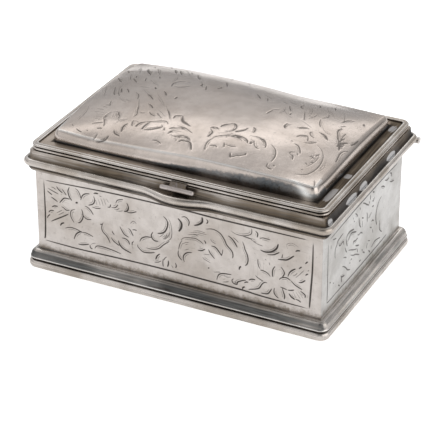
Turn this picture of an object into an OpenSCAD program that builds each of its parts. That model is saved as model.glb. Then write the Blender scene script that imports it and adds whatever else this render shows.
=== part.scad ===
// Silver stamp box: a footed rectangular case with a domed lid on a five-knuckle hinge.
// Millimetres, +Z up, front towards -Y. The origin is the centre of the case on the table plane.

/* [Case] */
// Outside width of the case walls
body_w = 66; // [56:0.5:80]
// Outside depth of the case walls
body_d = 42.2; // [36:0.2:54]
// Thickness of the wall sheet
wall_t = 0.8; // [0.6:0.1:1.2]
// Height of the top edge of the walls above the table
wall_top_z = 27.9; // [26:0.1:32]
// Thickness of the bottom sheet
base_t = 0.8; // [0.6:0.1:1.2]

/* [Foot moulding] */
// Height of the foot moulding
foot_h = 4.2; // [3.8:0.1:5]
// How far the foot moulding stands out from the wall
foot_out = 2.2; // [2:0.1:2.8]

/* [Rim moulding] */
// Height of the rim moulding, from its crease on the wall to the wall's top edge
rim_h = 5; // [4.6:0.1:5.4]
// How far the roll of the rim moulding stands out from the wall
rim_out = 2.35; // [2.2:0.05:2.6]
// How far the top land of the rim stands out from the wall
rim_land = 0.95; // [0.85:0.05:1.1]
// How much deeper the rim and the lid are at the back, to make room for the hinge
back_step = 1.7; // [1.5:0.1:2]
// Length of the bowed lip in the middle of the front rim
lip_w = 13; // [10:0.5:18]
// How far the bowed lip stands out past the rim's roll
lip_out = 1.7; // [1.2:0.1:2]
// Place of the lip and the thumb bar along the front, from the middle
lip_x = 1.2; // [-3:0.1:3]

/* [Stamp tray] */
// Height of the lowest line of the curved floor
tray_low_z = 11; // [6:0.5:14]
// Height of the floor where it meets the front and back walls
tray_edge_z = 21; // [18:0.5:23]
// Thickness of the curved floor sheet
tray_t = 0.5; // [0.4:0.05:0.8]
// Thickness of the dividers
divider_t = 0.8; // [0.5:0.1:1.2]
// Height of the top edge of the dividers
divider_top_z = 25.4; // [23.5:0.1:25.8]
// Number of stamp compartments
compartments = 3; // [2:1:3]

/* [Lid] */
// Gap between the rim's top land and the lid frame
seat_gap = 0.1; // [0.05:0.05:0.2]
// How far the lid frame stands out from the wall
frame_out = 0.85; // [0.75:0.05:0.9]
// Height of the lid frame moulding
frame_h = 1.3; // [1.2:0.05:1.5]
// Width of the lid frame moulding
frame_w = 1.4; // [1.3:0.05:1.6]
// Thickness of the lid plate, which is the floor of the channel round the dome
plate_t = 0.5; // [0.4:0.05:0.7]
// Distance from the wall line in to the foot of the dome
dome_inset = 2.6; // [2.3:0.1:3.4]
// Thickness of the dome sheet
dome_t = 0.7; // [0.5:0.1:1]
// Height of the rolled edge of the dome
dome_roll_h = 2.85; // [2:0.05:3.6]
// Width of the rolled edge of the dome
dome_roll_w = 1.2; // [1:0.1:1.8]
// Rise of the crown above the rolled edge
dome_crown = 4.1; // [2:0.1:5]
// Radius of the corners at the foot of the dome
dome_corner = 1.7; // [1.6:0.1:3]
// Depth of the lid's inner bezel below the lid plate
bezel_h = 1.8; // [1.2:0.1:2.2]
// Thickness of the bezel strip
bezel_t = 0.45; // [0.35:0.05:0.6]
// Gap between the bezel and the inside of the walls
bezel_gap = 0.2; // [0.15:0.05:0.3]

/* [Thumb bar] */
// Length of the thumb bar on the lid's front edge
thumb_w = 8.4; // [6:0.1:12]
// Height of the thumb bar
thumb_h = 0.95; // [0.8:0.05:1.2]
// How far the front of the thumb bar stands out from the wall
thumb_out = 2.5; // [2.2:0.1:2.8]

/* [Hinge] */
// Outside radius of the hinge knuckles
knuckle_r = 0.75; // [0.7:0.05:0.85]
// Radius of the hinge pin
pin_r = 0.4; // [0.35:0.05:0.45]
// Running clearance between the pin and the lid's knuckles, on the radius
pin_gap = 0.05; // [0.03:0.01:0.08]
// Distance of the hinge axis behind the outside of the back wall
hinge_out = 4.2; // [4.1:0.05:4.6]
// Drop of the hinge axis below the top edge of the walls
hinge_drop = 3.85; // [3.7:0.05:4]
// How far the end knuckles reach past each end of the case
hinge_over = 2.2; // [2:0.1:2.3]
// Length of each end knuckle of the case
end_knuckle_w = 3; // [2:0.2:6]
// Length of the middle knuckle of the case
mid_knuckle_w = 16; // [10:0.5:24]
// Gap between neighbouring knuckles
knuckle_gap = 0.2; // [0.1:0.05:0.3]
// Thickness of the lid's hinge leaf
leaf_t = 0.42; // [0.35:0.01:0.5]
// Length of the leaf below the hinge axis, which stops the open lid against the rim
leaf_tail = 1.05; // [0.95:0.05:1.05]

/* [Hidden] */

$fn = 48;
// Overlap of a cutting tool past the face that it cuts
cut = 0.5;

half_w = body_w / 2;
half_d = body_d / 2;
inner_w = body_w - 2 * wall_t;
inner_d = body_d - 2 * wall_t;

// Heights of the rim moulding's members
rim_z = wall_top_z - rim_h;
ovolo_out = 1.5;
ovolo_h = 1.8;
roll_r = 0.7;
quirk = 0.05;
roll_x = rim_out - roll_r;
roll_z = rim_z + ovolo_h + quirk + roll_r;

// Members of the foot moulding
cove_r = 0.65;
torus_r = 1.0;
fillet_h = 0.25;
foot_groove = 0.35;
foot_roll_h = 0.9;
foot_land = 0.15;

// Members of the lid frame
frame_z = wall_top_z + seat_gap;
frame_top_z = frame_z + frame_h;
frame_corner = 1.3;
bead_r = 0.22;
groove_in = 0.2;
groove_h = 0.32;
reed_r = 0.17;

// The lid plate lies inside the frame, above the walls' top edge
plate_z = frame_top_z - 0.35 - plate_t;
plate_out = frame_out - frame_w;
dome_z = plate_z + plate_t;
dome_a = half_w - dome_inset;
dome_b = half_d + back_step / 2 - dome_inset;
crown_px = 3;
crown_py = 2.5;
seat_w = 0.4;
bezel_back_clear = 7;

// Hinge axis and knuckle lengths
axis_y = half_d + hinge_out;
axis_z = wall_top_z - hinge_drop;
hinge_w = body_w + 2 * hinge_over;
lid_knuckle_w = (hinge_w - 2 * end_knuckle_w - mid_knuckle_w) / 2 - 2 * knuckle_gap;
leaf_w = hinge_w - 2 * end_knuckle_w - 2 * knuckle_gap;
pin_end = 0.15;
web_w = 0.5;

// Tray
tray_sag = tray_edge_z - tray_low_z;
tray_r = (pow(inner_d / 2, 2) + pow(tray_sag, 2)) / (2 * tray_sag);
pocket_w = (inner_w - (compartments - 1) * divider_t) / compartments;
finger_r = 40;
finger_dip = 1.6;

// Radius of the arc that the bowed lip follows, and its angle with its ends run into the rim
lip_r = (pow(lip_w / 2, 2) + pow(lip_out, 2)) / (2 * lip_out);
lip_angle = 2 * asin(lip_w / 2 / lip_r) + 6;

silver = [0.76, 0.73, 0.71];
silver_dark = [0.60, 0.57, 0.55];
silver_bright = [0.86, 0.84, 0.82];

// Points along an elliptical arc, from angle a0 to a1
function arc(cx, cy, rx, ry, a0, a1, n) =
    [for (i = [0:n]) let (a = a0 + (a1 - a0) * i / n) [cx + rx * cos(a), cy + ry * sin(a)]];

// Points along a cubic curve with four control points
function curve(p, n) =
    [for (i = [0:n]) let (t = i / n, u = 1 - t)
        u * u * u * p[0] + 3 * u * u * t * p[1] + 3 * u * t * t * p[2] + t * t * t * p[3]];

// Section of the rim: ovolo, quirk, roll, then a hollow up to the top land
function rim_profile() = concat(
    arc(0, rim_z + ovolo_h, ovolo_out, ovolo_h, -90, 0, 6),
    arc(roll_x, roll_z, roll_r, roll_r, -90, 90, 8),
    arc(roll_x, wall_top_z, roll_x - rim_land, wall_top_z - roll_z - roll_r, 270, 180, 6),
    [[0, wall_top_z]]);

// Section of the bowed lip: the rim's lower members under a flat thumb rest
function lip_profile() = concat(
    [[-lip_out - rim_land, rim_z]],
    arc(0, rim_z + ovolo_h, ovolo_out, ovolo_h, -90, 0, 6),
    arc(roll_x, roll_z, roll_r, roll_r, -90, 90, 8),
    [[-lip_out - rim_land, roll_z + roll_r]]);

// Section of the foot: cove, torus, fillet, groove and a lower roll
function foot_profile() = concat(
    [[0, 0]],
    arc(foot_out - 0.6, foot_roll_h, 0.6, foot_roll_h, -90, 90, 8),
    [[foot_out - 0.6, foot_roll_h * 2 + foot_groove - 0.1],
     [foot_out - 0.25, foot_roll_h * 2 + foot_groove],
     [foot_out - 0.25, foot_roll_h * 2 + foot_groove + fillet_h]],
    arc(foot_out - 0.4 - torus_r, foot_roll_h * 2 + foot_groove + fillet_h, torus_r,
        foot_h - cove_r - foot_roll_h * 2 - foot_groove - fillet_h, 0, 90, 6),
    arc(foot_out - 0.4 - torus_r, foot_h, foot_out - 0.4 - torus_r - foot_land, cove_r, 270, 180, 4),
    [[0, foot_h]]);

// Section of the lid frame: bead, groove, then a reeded round falling to the channel
function frame_profile() = concat(
    [[plate_out, frame_z]],
    arc(frame_out - bead_r - 0.05, frame_z + bead_r, bead_r, bead_r, -90, 90, 6),
    [[frame_out - bead_r - groove_in, frame_z + 2 * bead_r + 0.03],
     [frame_out - bead_r - groove_in, frame_z + 2 * bead_r + groove_h - 0.05]],
    arc(frame_out - 0.45, frame_z + 2 * bead_r + groove_h, 0.45, frame_h - 2 * bead_r - groove_h, 0, 90, 6),
    arc(frame_out - 0.45 - reed_r - 0.05, frame_top_z - 0.07, reed_r, 0.08, 0, 180, 5),
    arc(frame_out - 0.45 - 3 * reed_r - 0.09, frame_top_z - 0.09, reed_r, 0.08, 0, 180, 5),
    [[plate_out, frame_top_z - 0.15]]);

// Section of the hinge leaf, in distance behind the back wall and height
leaf_in = hinge_out + knuckle_r - 0.12;
function leaf_profile() = concat(
    [[back_step + frame_out - 0.2, frame_z + 0.1]],
    curve([[back_step + frame_out, frame_z + 0.1], [back_step + 1.9, frame_z - 0.2],
           [leaf_in - 0.05, frame_z - 1.2], [leaf_in, axis_z + 1.4]], 8),
    [[leaf_in, axis_z - leaf_tail], [leaf_in + leaf_t, axis_z - leaf_tail]],
    curve([[leaf_in + leaf_t, axis_z + 1.4], [leaf_in + leaf_t - 0.05, frame_z - 0.85],
           [back_step + 2.1, frame_z + 0.25], [back_step + frame_out, frame_z + 0.5]], 8),
    [[back_step + frame_out - 0.2, frame_z + 0.5]]);

// A length of moulding facing +X with its half of each rounded, mitred corner.
// x is the wall line, run the length between corner centres, inset moves the centres inwards.
module moulding(points, x, run, inset = 0) {
    section = [for (p = points) [p[0] + inset, p[1]]];
    translate([x - inset, run / 2, 0])
        rotate([90, 0, 0])
            linear_extrude(run) polygon(section);
    translate([x - inset, run / 2, 0])
        rotate_extrude(angle = 45) polygon(section);
    translate([x - inset, -run / 2, 0])
        rotate([0, 0, -45]) rotate_extrude(angle = 45) polygon(section);
}

// The four sides of a moulded frame round the case; step makes its back deeper
module frame_side(points, side, step = 0, inset = 0) {
    if (side == "front") rotate([0, 0, -90]) moulding(points, half_d, body_w - 2 * inset, inset);
    if (side == "back") rotate([0, 0, 90]) moulding(points, half_d + step, body_w - 2 * inset, inset);
    if (side == "right") translate([0, step / 2, 0])
        moulding(points, half_w, body_d + step - 2 * inset, inset);
    if (side == "left") translate([0, step / 2, 0]) rotate([0, 0, 180])
        moulding(points, half_w, body_d + step - 2 * inset, inset);
}

// A rectangle with true round corners
module rounded_rect(x0, x1, y0, y1, r) {
    translate([x0 + r, y0]) square([x1 - x0 - 2 * r, y1 - y0]);
    translate([x0, y0 + r]) square([x1 - x0, y1 - y0 - 2 * r]);
    for (x = [x0 + r, x1 - r], y = [y0 + r, y1 - r]) translate([x, y]) circle(r);
}

// A mitred wall sheet whose outside lies on y = -d / 2
module wall_sheet(w, d) {
    translate([0, 0, base_t])
        linear_extrude(wall_top_z - base_t)
            polygon([[-w / 2, -d / 2], [w / 2, -d / 2],
                     [w / 2 - wall_t, wall_t - d / 2], [wall_t - w / 2, wall_t - d / 2]]);
}

// A tube along X, from x0 to x1 on the hinge axis
module tube(x0, x1, bore) {
    translate([x0, axis_y, axis_z])
        rotate([0, 90, 0])
            difference() {
                cylinder(h = x1 - x0, r = knuckle_r);
                translate([0, 0, -cut]) cylinder(h = x1 - x0 + 2 * cut, r = bore);
            }
}

module base_plate() {
    color(silver_dark)
        translate([-half_w, -half_d, 0]) cube([body_w, body_d, base_t]);
}

module foot_front() { color(silver) frame_side(foot_profile(), "front"); }
module foot_back() { color(silver) frame_side(foot_profile(), "back"); }
module foot_left() { color(silver) frame_side(foot_profile(), "left"); }
module foot_right() { color(silver) frame_side(foot_profile(), "right"); }

module front_wall() { color(silver) wall_sheet(body_w, body_d); }
module back_wall() { color(silver) rotate([0, 0, 180]) wall_sheet(body_w, body_d); }
module left_wall() { color(silver) rotate([0, 0, -90]) wall_sheet(body_d, body_w); }
module right_wall() { color(silver) rotate([0, 0, 90]) wall_sheet(body_d, body_w); }

// The front rim carries the bowed lip under the thumb bar
module rim_front() {
    color(silver) {
        frame_side(rim_profile(), "front", back_step);
        intersection() {
            translate([lip_x, lip_r - lip_out - half_d, 0])
                rotate([0, 0, -90 - lip_angle / 2])
                    rotate_extrude(angle = lip_angle, $fn = 96)
                        polygon([for (p = lip_profile()) [p[0] + lip_r, p[1]]]);
            translate([-half_w, -half_d - rim_out - 2 * lip_out, 0])
                cube([body_w, rim_out + 2 * lip_out, wall_top_z]);
        }
    }
}
module rim_back() { color(silver) frame_side(rim_profile(), "back", back_step); }
module rim_left() { color(silver) frame_side(rim_profile(), "left", back_step); }
module rim_right() { color(silver) frame_side(rim_profile(), "right", back_step); }

// The strip between the back wall and the deeper back rim
module hinge_packing() {
    color(silver_dark)
        translate([-half_w, half_d, rim_z]) cube([body_w, back_step, rim_h]);
}

// One sheet bent to a shallow curve, so that a stamp slides up under a fingertip
module tray_floor() {
    color(silver_bright)
        translate([-inner_w / 2, 0, tray_low_z + tray_r])
            intersection() {
                rotate([0, 90, 0])
                    difference() {
                        cylinder(h = inner_w, r = tray_r + tray_t, $fn = 96);
                        translate([0, 0, -cut]) cylinder(h = inner_w + 2 * cut, r = tray_r, $fn = 96);
                    }
                translate([0, -inner_d / 2, -tray_r - 2 * tray_t])
                    cube([inner_w, inner_d, tray_sag + 2 * tray_t]);
            }
}

// The dividers follow the floor's curve and dip in the middle for the finger
module tray_dividers() {
    color(silver_bright)
        for (i = [1:compartments - 1])
            translate([-inner_w / 2 + i * pocket_w + (i - 1) * divider_t, 0, 0])
                rotate([90, 0, 90])
                    linear_extrude(divider_t)
                        difference() {
                            intersection() {
                                translate([-inner_d / 2, 0]) square([inner_d, divider_top_z]);
                                translate([0, tray_low_z + tray_r]) circle(tray_r, $fn = 96);
                            }
                            translate([0, divider_top_z + finger_r - finger_dip])
                                circle(finger_r, $fn = 96);
                        }
}

// Three tubes of the case, each on a web that fills the corner under the back rim
module case_knuckles() {
    ends = hinge_w / 2;
    spans = [[-ends, -ends + end_knuckle_w], [-mid_knuckle_w / 2, mid_knuckle_w / 2],
             [ends - end_knuckle_w, ends]];
    color(silver)
        for (s = spans) {
            tube(s[0], s[1], pin_r);
            translate([max(s[0], -half_w), half_d, 0])
                rotate([90, 0, 90])
                    linear_extrude(min(s[1], half_w) - max(s[0], -half_w))
                        difference() {
                            polygon([[hinge_out, axis_z],
                                     [hinge_out + 0.05, axis_z + knuckle_r],
                                     [roll_x + back_step + 0.3, roll_z],
                                     [ovolo_out + back_step - 0.3, roll_z - roll_r],
                                     [ovolo_out + back_step - web_w, axis_z]]);
                            translate([hinge_out, axis_z]) circle(knuckle_r);
                            polygon([for (p = rim_profile()) [p[0] + back_step, p[1]]]);
                        }
        }
}

// A plain wire through all five knuckles, its ends rounded
module hinge_pin() {
    ends = hinge_w / 2;
    color(silver_bright)
        translate([-ends, axis_y, axis_z])
            rotate([0, 90, 0])
                rotate_extrude()
                    polygon(concat([[0, -pin_end]], arc(0, 0, pin_r, pin_end, -90, 0, 3),
                                   arc(0, hinge_w, pin_r, pin_end, 0, 90, 3)));
}

module lid_frame_front() { color(silver) frame_side(frame_profile(), "front", back_step, frame_corner); }
module lid_frame_back() { color(silver) frame_side(frame_profile(), "back", back_step, frame_corner); }
module lid_frame_left() { color(silver) frame_side(frame_profile(), "left", back_step, frame_corner); }
module lid_frame_right() { color(silver) frame_side(frame_profile(), "right", back_step, frame_corner); }

// The flat ring between the frame and the dome, open in the middle
module lid_plate() {
    hole = -dome_inset - dome_t - seat_w;
    color(silver_dark)
        translate([0, 0, plate_z])
            linear_extrude(plate_t)
                difference() {
                    rounded_rect(-half_w - plate_out, half_w + plate_out, -half_d - plate_out,
                                 half_d + back_step + plate_out, frame_corner + plate_out);
                    translate([-half_w - hole, -half_d - hole])
                        square([body_w + 2 * hole, body_d + back_step + 2 * hole]);
                }
}

// A strip on three sides that drops inside the walls; the back is left free for the hinge's swing
module lid_bezel() {
    w = inner_w - 2 * bezel_gap;
    front = inner_d / 2 - bezel_gap;
    back = inner_d / 2 - bezel_back_clear;
    color(silver_bright)
        translate([0, 0, plate_z - bezel_h])
            linear_extrude(bezel_h)
                difference() {
                    translate([-w / 2, -front]) square([w, front + back]);
                    translate([-w / 2 + bezel_t, -front + bezel_t]) square([w - 2 * bezel_t, front + back]);
                }
}

// Outline of the dome for an inset: corner arcs with the straight sides divided between them
function outline(a, b, r, n = 4, m = 6) =
    let (c = [[a - r, b - r, 0], [r - a, b - r, 90], [r - a, r - b, 180], [a - r, r - b, 270]])
    [for (k = [0:3]) let (p = c[k], q = c[(k + 1) % 4]) each concat(
        [for (i = [0:n]) [p[0] + r * cos(p[2] + 90 * i / n), p[1] + r * sin(p[2] + 90 * i / n)]],
        [for (j = [1:m - 1]) let (t = j / m, e = p[2] + 90)
            [(1 - t) * (p[0] + r * cos(e)) + t * (q[0] + r * cos(e)),
             (1 - t) * (p[1] + r * sin(e)) + t * (q[1] + r * sin(e))]])];

// Height of the dome: a quarter-ellipse roll at the edge, and a crown with soft hips
function dome_height(x, y, d, a, b, roll_h, roll_w) =
    roll_h * sqrt(max(0, 1 - pow(1 - min(d / roll_w, 1), 2)))
    + dome_crown * (1 - pow(min(abs(x) / a, 1), crown_px)) * (1 - pow(min(abs(y) / b, 1), crown_py));

// One skin of the dome as rings from the foot to the middle
function dome_skin(a, b, r, roll_h, roll_w) =
    let (d_steps = [0, 0.05, 0.18, 0.4, 0.68, 1], k_steps = [0.88, 0.74, 0.58, 0.4, 0.2],
         top = outline(a - roll_w, b - roll_w, max(r - roll_w, 0.2)))
    concat(
        [for (s = d_steps) let (d = s * roll_w)
            [for (p = outline(a - d, b - d, max(r - d, 0.2)))
                [p[0], p[1], dome_height(p[0], p[1], d, a, b, roll_h, roll_w)]]],
        [for (k = k_steps)
            [for (p = top) [p[0] * k, p[1] * k,
                            dome_height(p[0] * k, p[1] * k, roll_w, a, b, roll_h, roll_w)]]]);

// The raised panel: one closed shell, open below
module lid_dome() {
    outer = dome_skin(dome_a, dome_b, dome_corner, dome_roll_h, dome_roll_w);
    inner = dome_skin(dome_a - dome_t, dome_b - dome_t, dome_corner - dome_t, dome_roll_h - dome_t, dome_roll_w);
    rings = len(outer);
    n = len(outer[0]);
    points = concat([for (g = outer) each g], [for (g = inner) each g],
                    [[0, 0, dome_roll_h + dome_crown], [0, 0, dome_roll_h - dome_t + dome_crown]]);
    inner0 = rings * n;
    apex = 2 * rings * n;
    faces = concat(
        [for (i = [0:rings - 2], j = [0:n - 1]) let (k = (j + 1) % n) each
            [[i * n + j, (i + 1) * n + k, i * n + k], [i * n + j, (i + 1) * n + j, (i + 1) * n + k]]],
        [for (i = [0:rings - 2], j = [0:n - 1]) let (k = (j + 1) % n) each
            [[inner0 + i * n + j, inner0 + i * n + k, inner0 + (i + 1) * n + k],
             [inner0 + i * n + j, inner0 + (i + 1) * n + k, inner0 + (i + 1) * n + j]]],
        [for (j = [0:n - 1]) let (k = (j + 1) % n) [(rings - 1) * n + j, apex, (rings - 1) * n + k]],
        [for (j = [0:n - 1]) let (k = (j + 1) % n)
            [inner0 + (rings - 1) * n + j, inner0 + (rings - 1) * n + k, apex + 1]],
        [for (j = [0:n - 1]) let (k = (j + 1) % n) each
            [[j, k, inner0 + k], [j, inner0 + k, inner0 + j]]]);
    color(silver)
        translate([0, back_step / 2, dome_z])
            polyhedron(points, faces);
}

// A round-ended bar on a short root that hangs from the front of the lid frame
module thumb_bar() {
    bar_z = wall_top_z - thumb_h - 0.15;
    bar_in = thumb_out - 1;
    color(silver_bright)
        translate([lip_x, -half_d, 0]) {
            translate([0, 0, bar_z])
                linear_extrude(thumb_h)
                    rounded_rect(-thumb_w / 2, thumb_w / 2, -thumb_out, -bar_in, 0.45);
            translate([-thumb_w / 2 + 0.8, 0, 0])
                rotate([90, 0, 90])
                    linear_extrude(thumb_w - 1.6)
                        difference() {
                            polygon([[-frame_out + 0.2, frame_z + 0.05], [-frame_out - 0.4, frame_z - 0.02],
                                     [-bar_in - 0.1, bar_z + 0.3],
                                     [-bar_in - 0.6, bar_z + thumb_h],
                                     [-frame_out - 0.3, frame_z + 2 * bead_r],
                                     [-frame_out + 0.2, frame_z + 2 * bead_r]]);
                            polygon([for (p = frame_profile()) [-p[0], p[1]]]);
                        }
        }
}

// The leaf sweeps from the frame over the back rim, down behind the knuckles
module lid_leaf() {
    color(silver)
        difference() {
            translate([-leaf_w / 2, half_d, 0])
                rotate([90, 0, 90])
                    linear_extrude(leaf_w)
                        difference() {
                            polygon(leaf_profile());
                            polygon([for (p = frame_profile()) [p[0] + back_step, p[1]]]);
                            translate([hinge_out, axis_z]) circle(knuckle_r);
                        }
            translate([-mid_knuckle_w / 2 - knuckle_gap, axis_y - cut, axis_z - leaf_tail - cut])
                cube([mid_knuckle_w + 2 * knuckle_gap, 2 * cut + 2 * knuckle_r,
                      leaf_tail + cut + knuckle_r + knuckle_gap]);
        }
}

module lid_knuckles() {
    inner_end = mid_knuckle_w / 2 + knuckle_gap;
    color(silver) {
        tube(inner_end, inner_end + lid_knuckle_w, pin_r + pin_gap);
        tube(-inner_end - lid_knuckle_w, -inner_end, pin_r + pin_gap);
    }
}

base_plate();
foot_front();
foot_back();
foot_left();
foot_right();
front_wall();
back_wall();
left_wall();
right_wall();
rim_front();
rim_back();
rim_left();
rim_right();
hinge_packing();
tray_floor();
tray_dividers();
case_knuckles();
hinge_pin();
lid_frame_front();
lid_frame_back();
lid_frame_left();
lid_frame_right();
lid_plate();
lid_bezel();
lid_dome();
thumb_bar();
lid_leaf();
lid_knuckles();
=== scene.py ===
import bpy
import numpy as np
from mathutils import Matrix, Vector


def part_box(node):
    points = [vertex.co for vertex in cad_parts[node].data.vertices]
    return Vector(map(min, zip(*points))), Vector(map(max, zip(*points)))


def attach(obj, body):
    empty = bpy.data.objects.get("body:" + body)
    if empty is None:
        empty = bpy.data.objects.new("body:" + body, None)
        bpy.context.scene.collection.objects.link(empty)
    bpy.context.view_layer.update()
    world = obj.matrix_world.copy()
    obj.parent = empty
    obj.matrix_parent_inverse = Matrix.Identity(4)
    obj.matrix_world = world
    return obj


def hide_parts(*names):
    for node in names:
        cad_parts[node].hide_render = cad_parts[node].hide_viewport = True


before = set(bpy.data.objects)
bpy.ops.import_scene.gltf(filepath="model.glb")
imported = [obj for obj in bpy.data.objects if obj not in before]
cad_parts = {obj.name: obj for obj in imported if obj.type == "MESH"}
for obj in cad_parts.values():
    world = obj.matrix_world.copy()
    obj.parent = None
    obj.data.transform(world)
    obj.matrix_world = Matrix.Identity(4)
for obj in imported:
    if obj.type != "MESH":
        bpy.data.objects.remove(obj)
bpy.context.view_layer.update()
mm = 0.001


# Studio: a camera at the photograph's angle, a white floor, and a sky that the metal mirrors. The sky is
# light grey, with one window behind the box and one at its right; no lamp is needed.
camera_turn = np.radians(26.367)
camera_rise = np.radians(29.0)
camera_distance = 435.2 * mm
camera_target = Vector((-1.094, 0, 9.124)) * mm

camera_data = bpy.data.cameras.new("camera")
camera_data.sensor_width = 36
camera_data.lens = 168.15
camera_data.clip_end = 20
camera = bpy.data.objects.new("camera", camera_data)
bpy.context.scene.collection.objects.link(camera)
camera_way = Vector((np.sin(camera_turn) * np.cos(camera_rise), -np.cos(camera_turn) * np.cos(camera_rise),
                     np.sin(camera_rise)))
camera.location = camera_target + camera_distance * camera_way
camera.rotation_euler = camera_way.to_track_quat("Z", "Y").to_euler()
bpy.context.scene.camera = camera
bpy.context.scene.view_settings.view_transform = "Standard"


class Nodes:
    """A short way to write a shader: each call adds one node and returns it."""

    def __init__(self, tree):
        self.tree = tree
        tree.nodes.clear()

    def add(self, kind, inputs=None, **settings):
        node = self.tree.nodes.new(kind)
        for key, value in settings.items():
            setattr(node, key, value)
        for key, value in (inputs or {}).items():
            if isinstance(value, bpy.types.NodeSocket):
                self.tree.links.new(value, node.inputs[key])
            else:
                node.inputs[key].default_value = value
        return node

    def math(self, operation, *values):
        return self.add("ShaderNodeMath", dict(enumerate(values)), operation=operation).outputs[0]

    def times(self, first, second):
        return self.math("MULTIPLY", first, second)

    def plus(self, first, second):
        return self.math("ADD", first, second)

    def less(self, first, second):
        return self.math("SUBTRACT", first, second)

    def most(self, first, second):
        return self.math("MAXIMUM", first, second)

    def ramp(self, value, low, high, to_low=0.0, to_high=1.0):
        inputs = {"Value": value, "From Min": low, "From Max": high, "To Min": to_low, "To Max": to_high}
        return self.add("ShaderNodeMapRange", inputs, interpolation_type="SMOOTHSTEP").outputs[0]

    def mix(self, share, first, second):
        inputs = {0: share, 6: first, 7: second}
        return self.add("ShaderNodeMix", inputs, data_type="RGBA").outputs[2]


world = bpy.data.worlds.new("studio")
bpy.context.scene.world = world
world.use_nodes = True
sky = Nodes(world.node_tree)
toward = sky.add("ShaderNodeTexCoord").outputs["Generated"]
height = sky.add("ShaderNodeSeparateXYZ", {0: toward}).outputs["Z"]


def glow_toward(way, low, high, strength):
    """A soft round patch of the sky: 0 outside the cosine low, and its full strength inside the cosine high."""
    inputs = {0: toward, 1: Vector(way).normalized()}
    near = sky.add("ShaderNodeVectorMath", inputs, operation="DOT_PRODUCT").outputs["Value"]
    return sky.ramp(near, low, high, 0.0, strength)


level = sky.ramp(height, 0.0, 0.65, 0.42, 0.70)
level = sky.less(level, sky.ramp(height, 0.80, 0.95, 0.0, 0.14))
# a long window behind, standing askew: the part of a leaning great circle that is near its middle
leaning = sky.add("ShaderNodeVectorMath", {0: toward, 1: (-0.791, 0.2326, -0.5646)},
                  operation="DOT_PRODUCT").outputs["Value"]
window = sky.times(sky.ramp(leaning, 0.02, 0.17, 0.80, 0.0), sky.ramp(leaning, -0.11, -0.07))
window = sky.times(window, glow_toward((-0.35, 0.60, 0.72), 0.75, 0.90, 1.0))
level = sky.plus(level, window)
# a paler wall on the camera's side, dimmer high up, and a second window at the right
level = sky.plus(level, glow_toward((-0.1, -0.97, 0.10), 0.60, 0.85, 0.30))
level = sky.less(level, glow_toward((0.10, -0.66, 0.75), 0.84, 0.95, 0.58))
level = sky.plus(sky.most(level, 0.05), glow_toward((0.95, -0.1, 0.35), 0.75, 0.92, 0.90))
tint = sky.mix(level, (0.93, 0.96, 1.0, 1), (1.0, 0.99, 0.98, 1))
backdrop = sky.add("ShaderNodeBackground", {"Color": tint, "Strength": level}).outputs[0]
sky.add("ShaderNodeOutputWorld", {"Surface": backdrop})

floor_size = 3.0
bpy.ops.mesh.primitive_plane_add(size=2 * floor_size, location=(0, 0, -0.02 * mm))
floor = bpy.context.object
floor.name = "studio_floor"
floor_paint = bpy.data.materials.new("studio_floor")
floor_paint.use_nodes = True
paint = Nodes(floor_paint.node_tree)
matt = paint.add("ShaderNodeBsdfDiffuse", {"Color": (0.93, 0.93, 0.93, 1)}).outputs[0]
path = paint.add("ShaderNodeLightPath").outputs
mirrored_too = paint.most(path["Is Glossy Ray"], path["Is Transmission Ray"])
strength = paint.plus(paint.times(path["Is Camera Ray"], 0.80), paint.times(mirrored_too, 0.38))
glow = paint.add("ShaderNodeEmission", {"Strength": strength}).outputs[0]
both = paint.add("ShaderNodeAddShader", {0: matt, 1: glow}).outputs[0]
paint.add("ShaderNodeOutputMaterial", {"Surface": both})
floor.data.materials.append(floor_paint)


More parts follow.
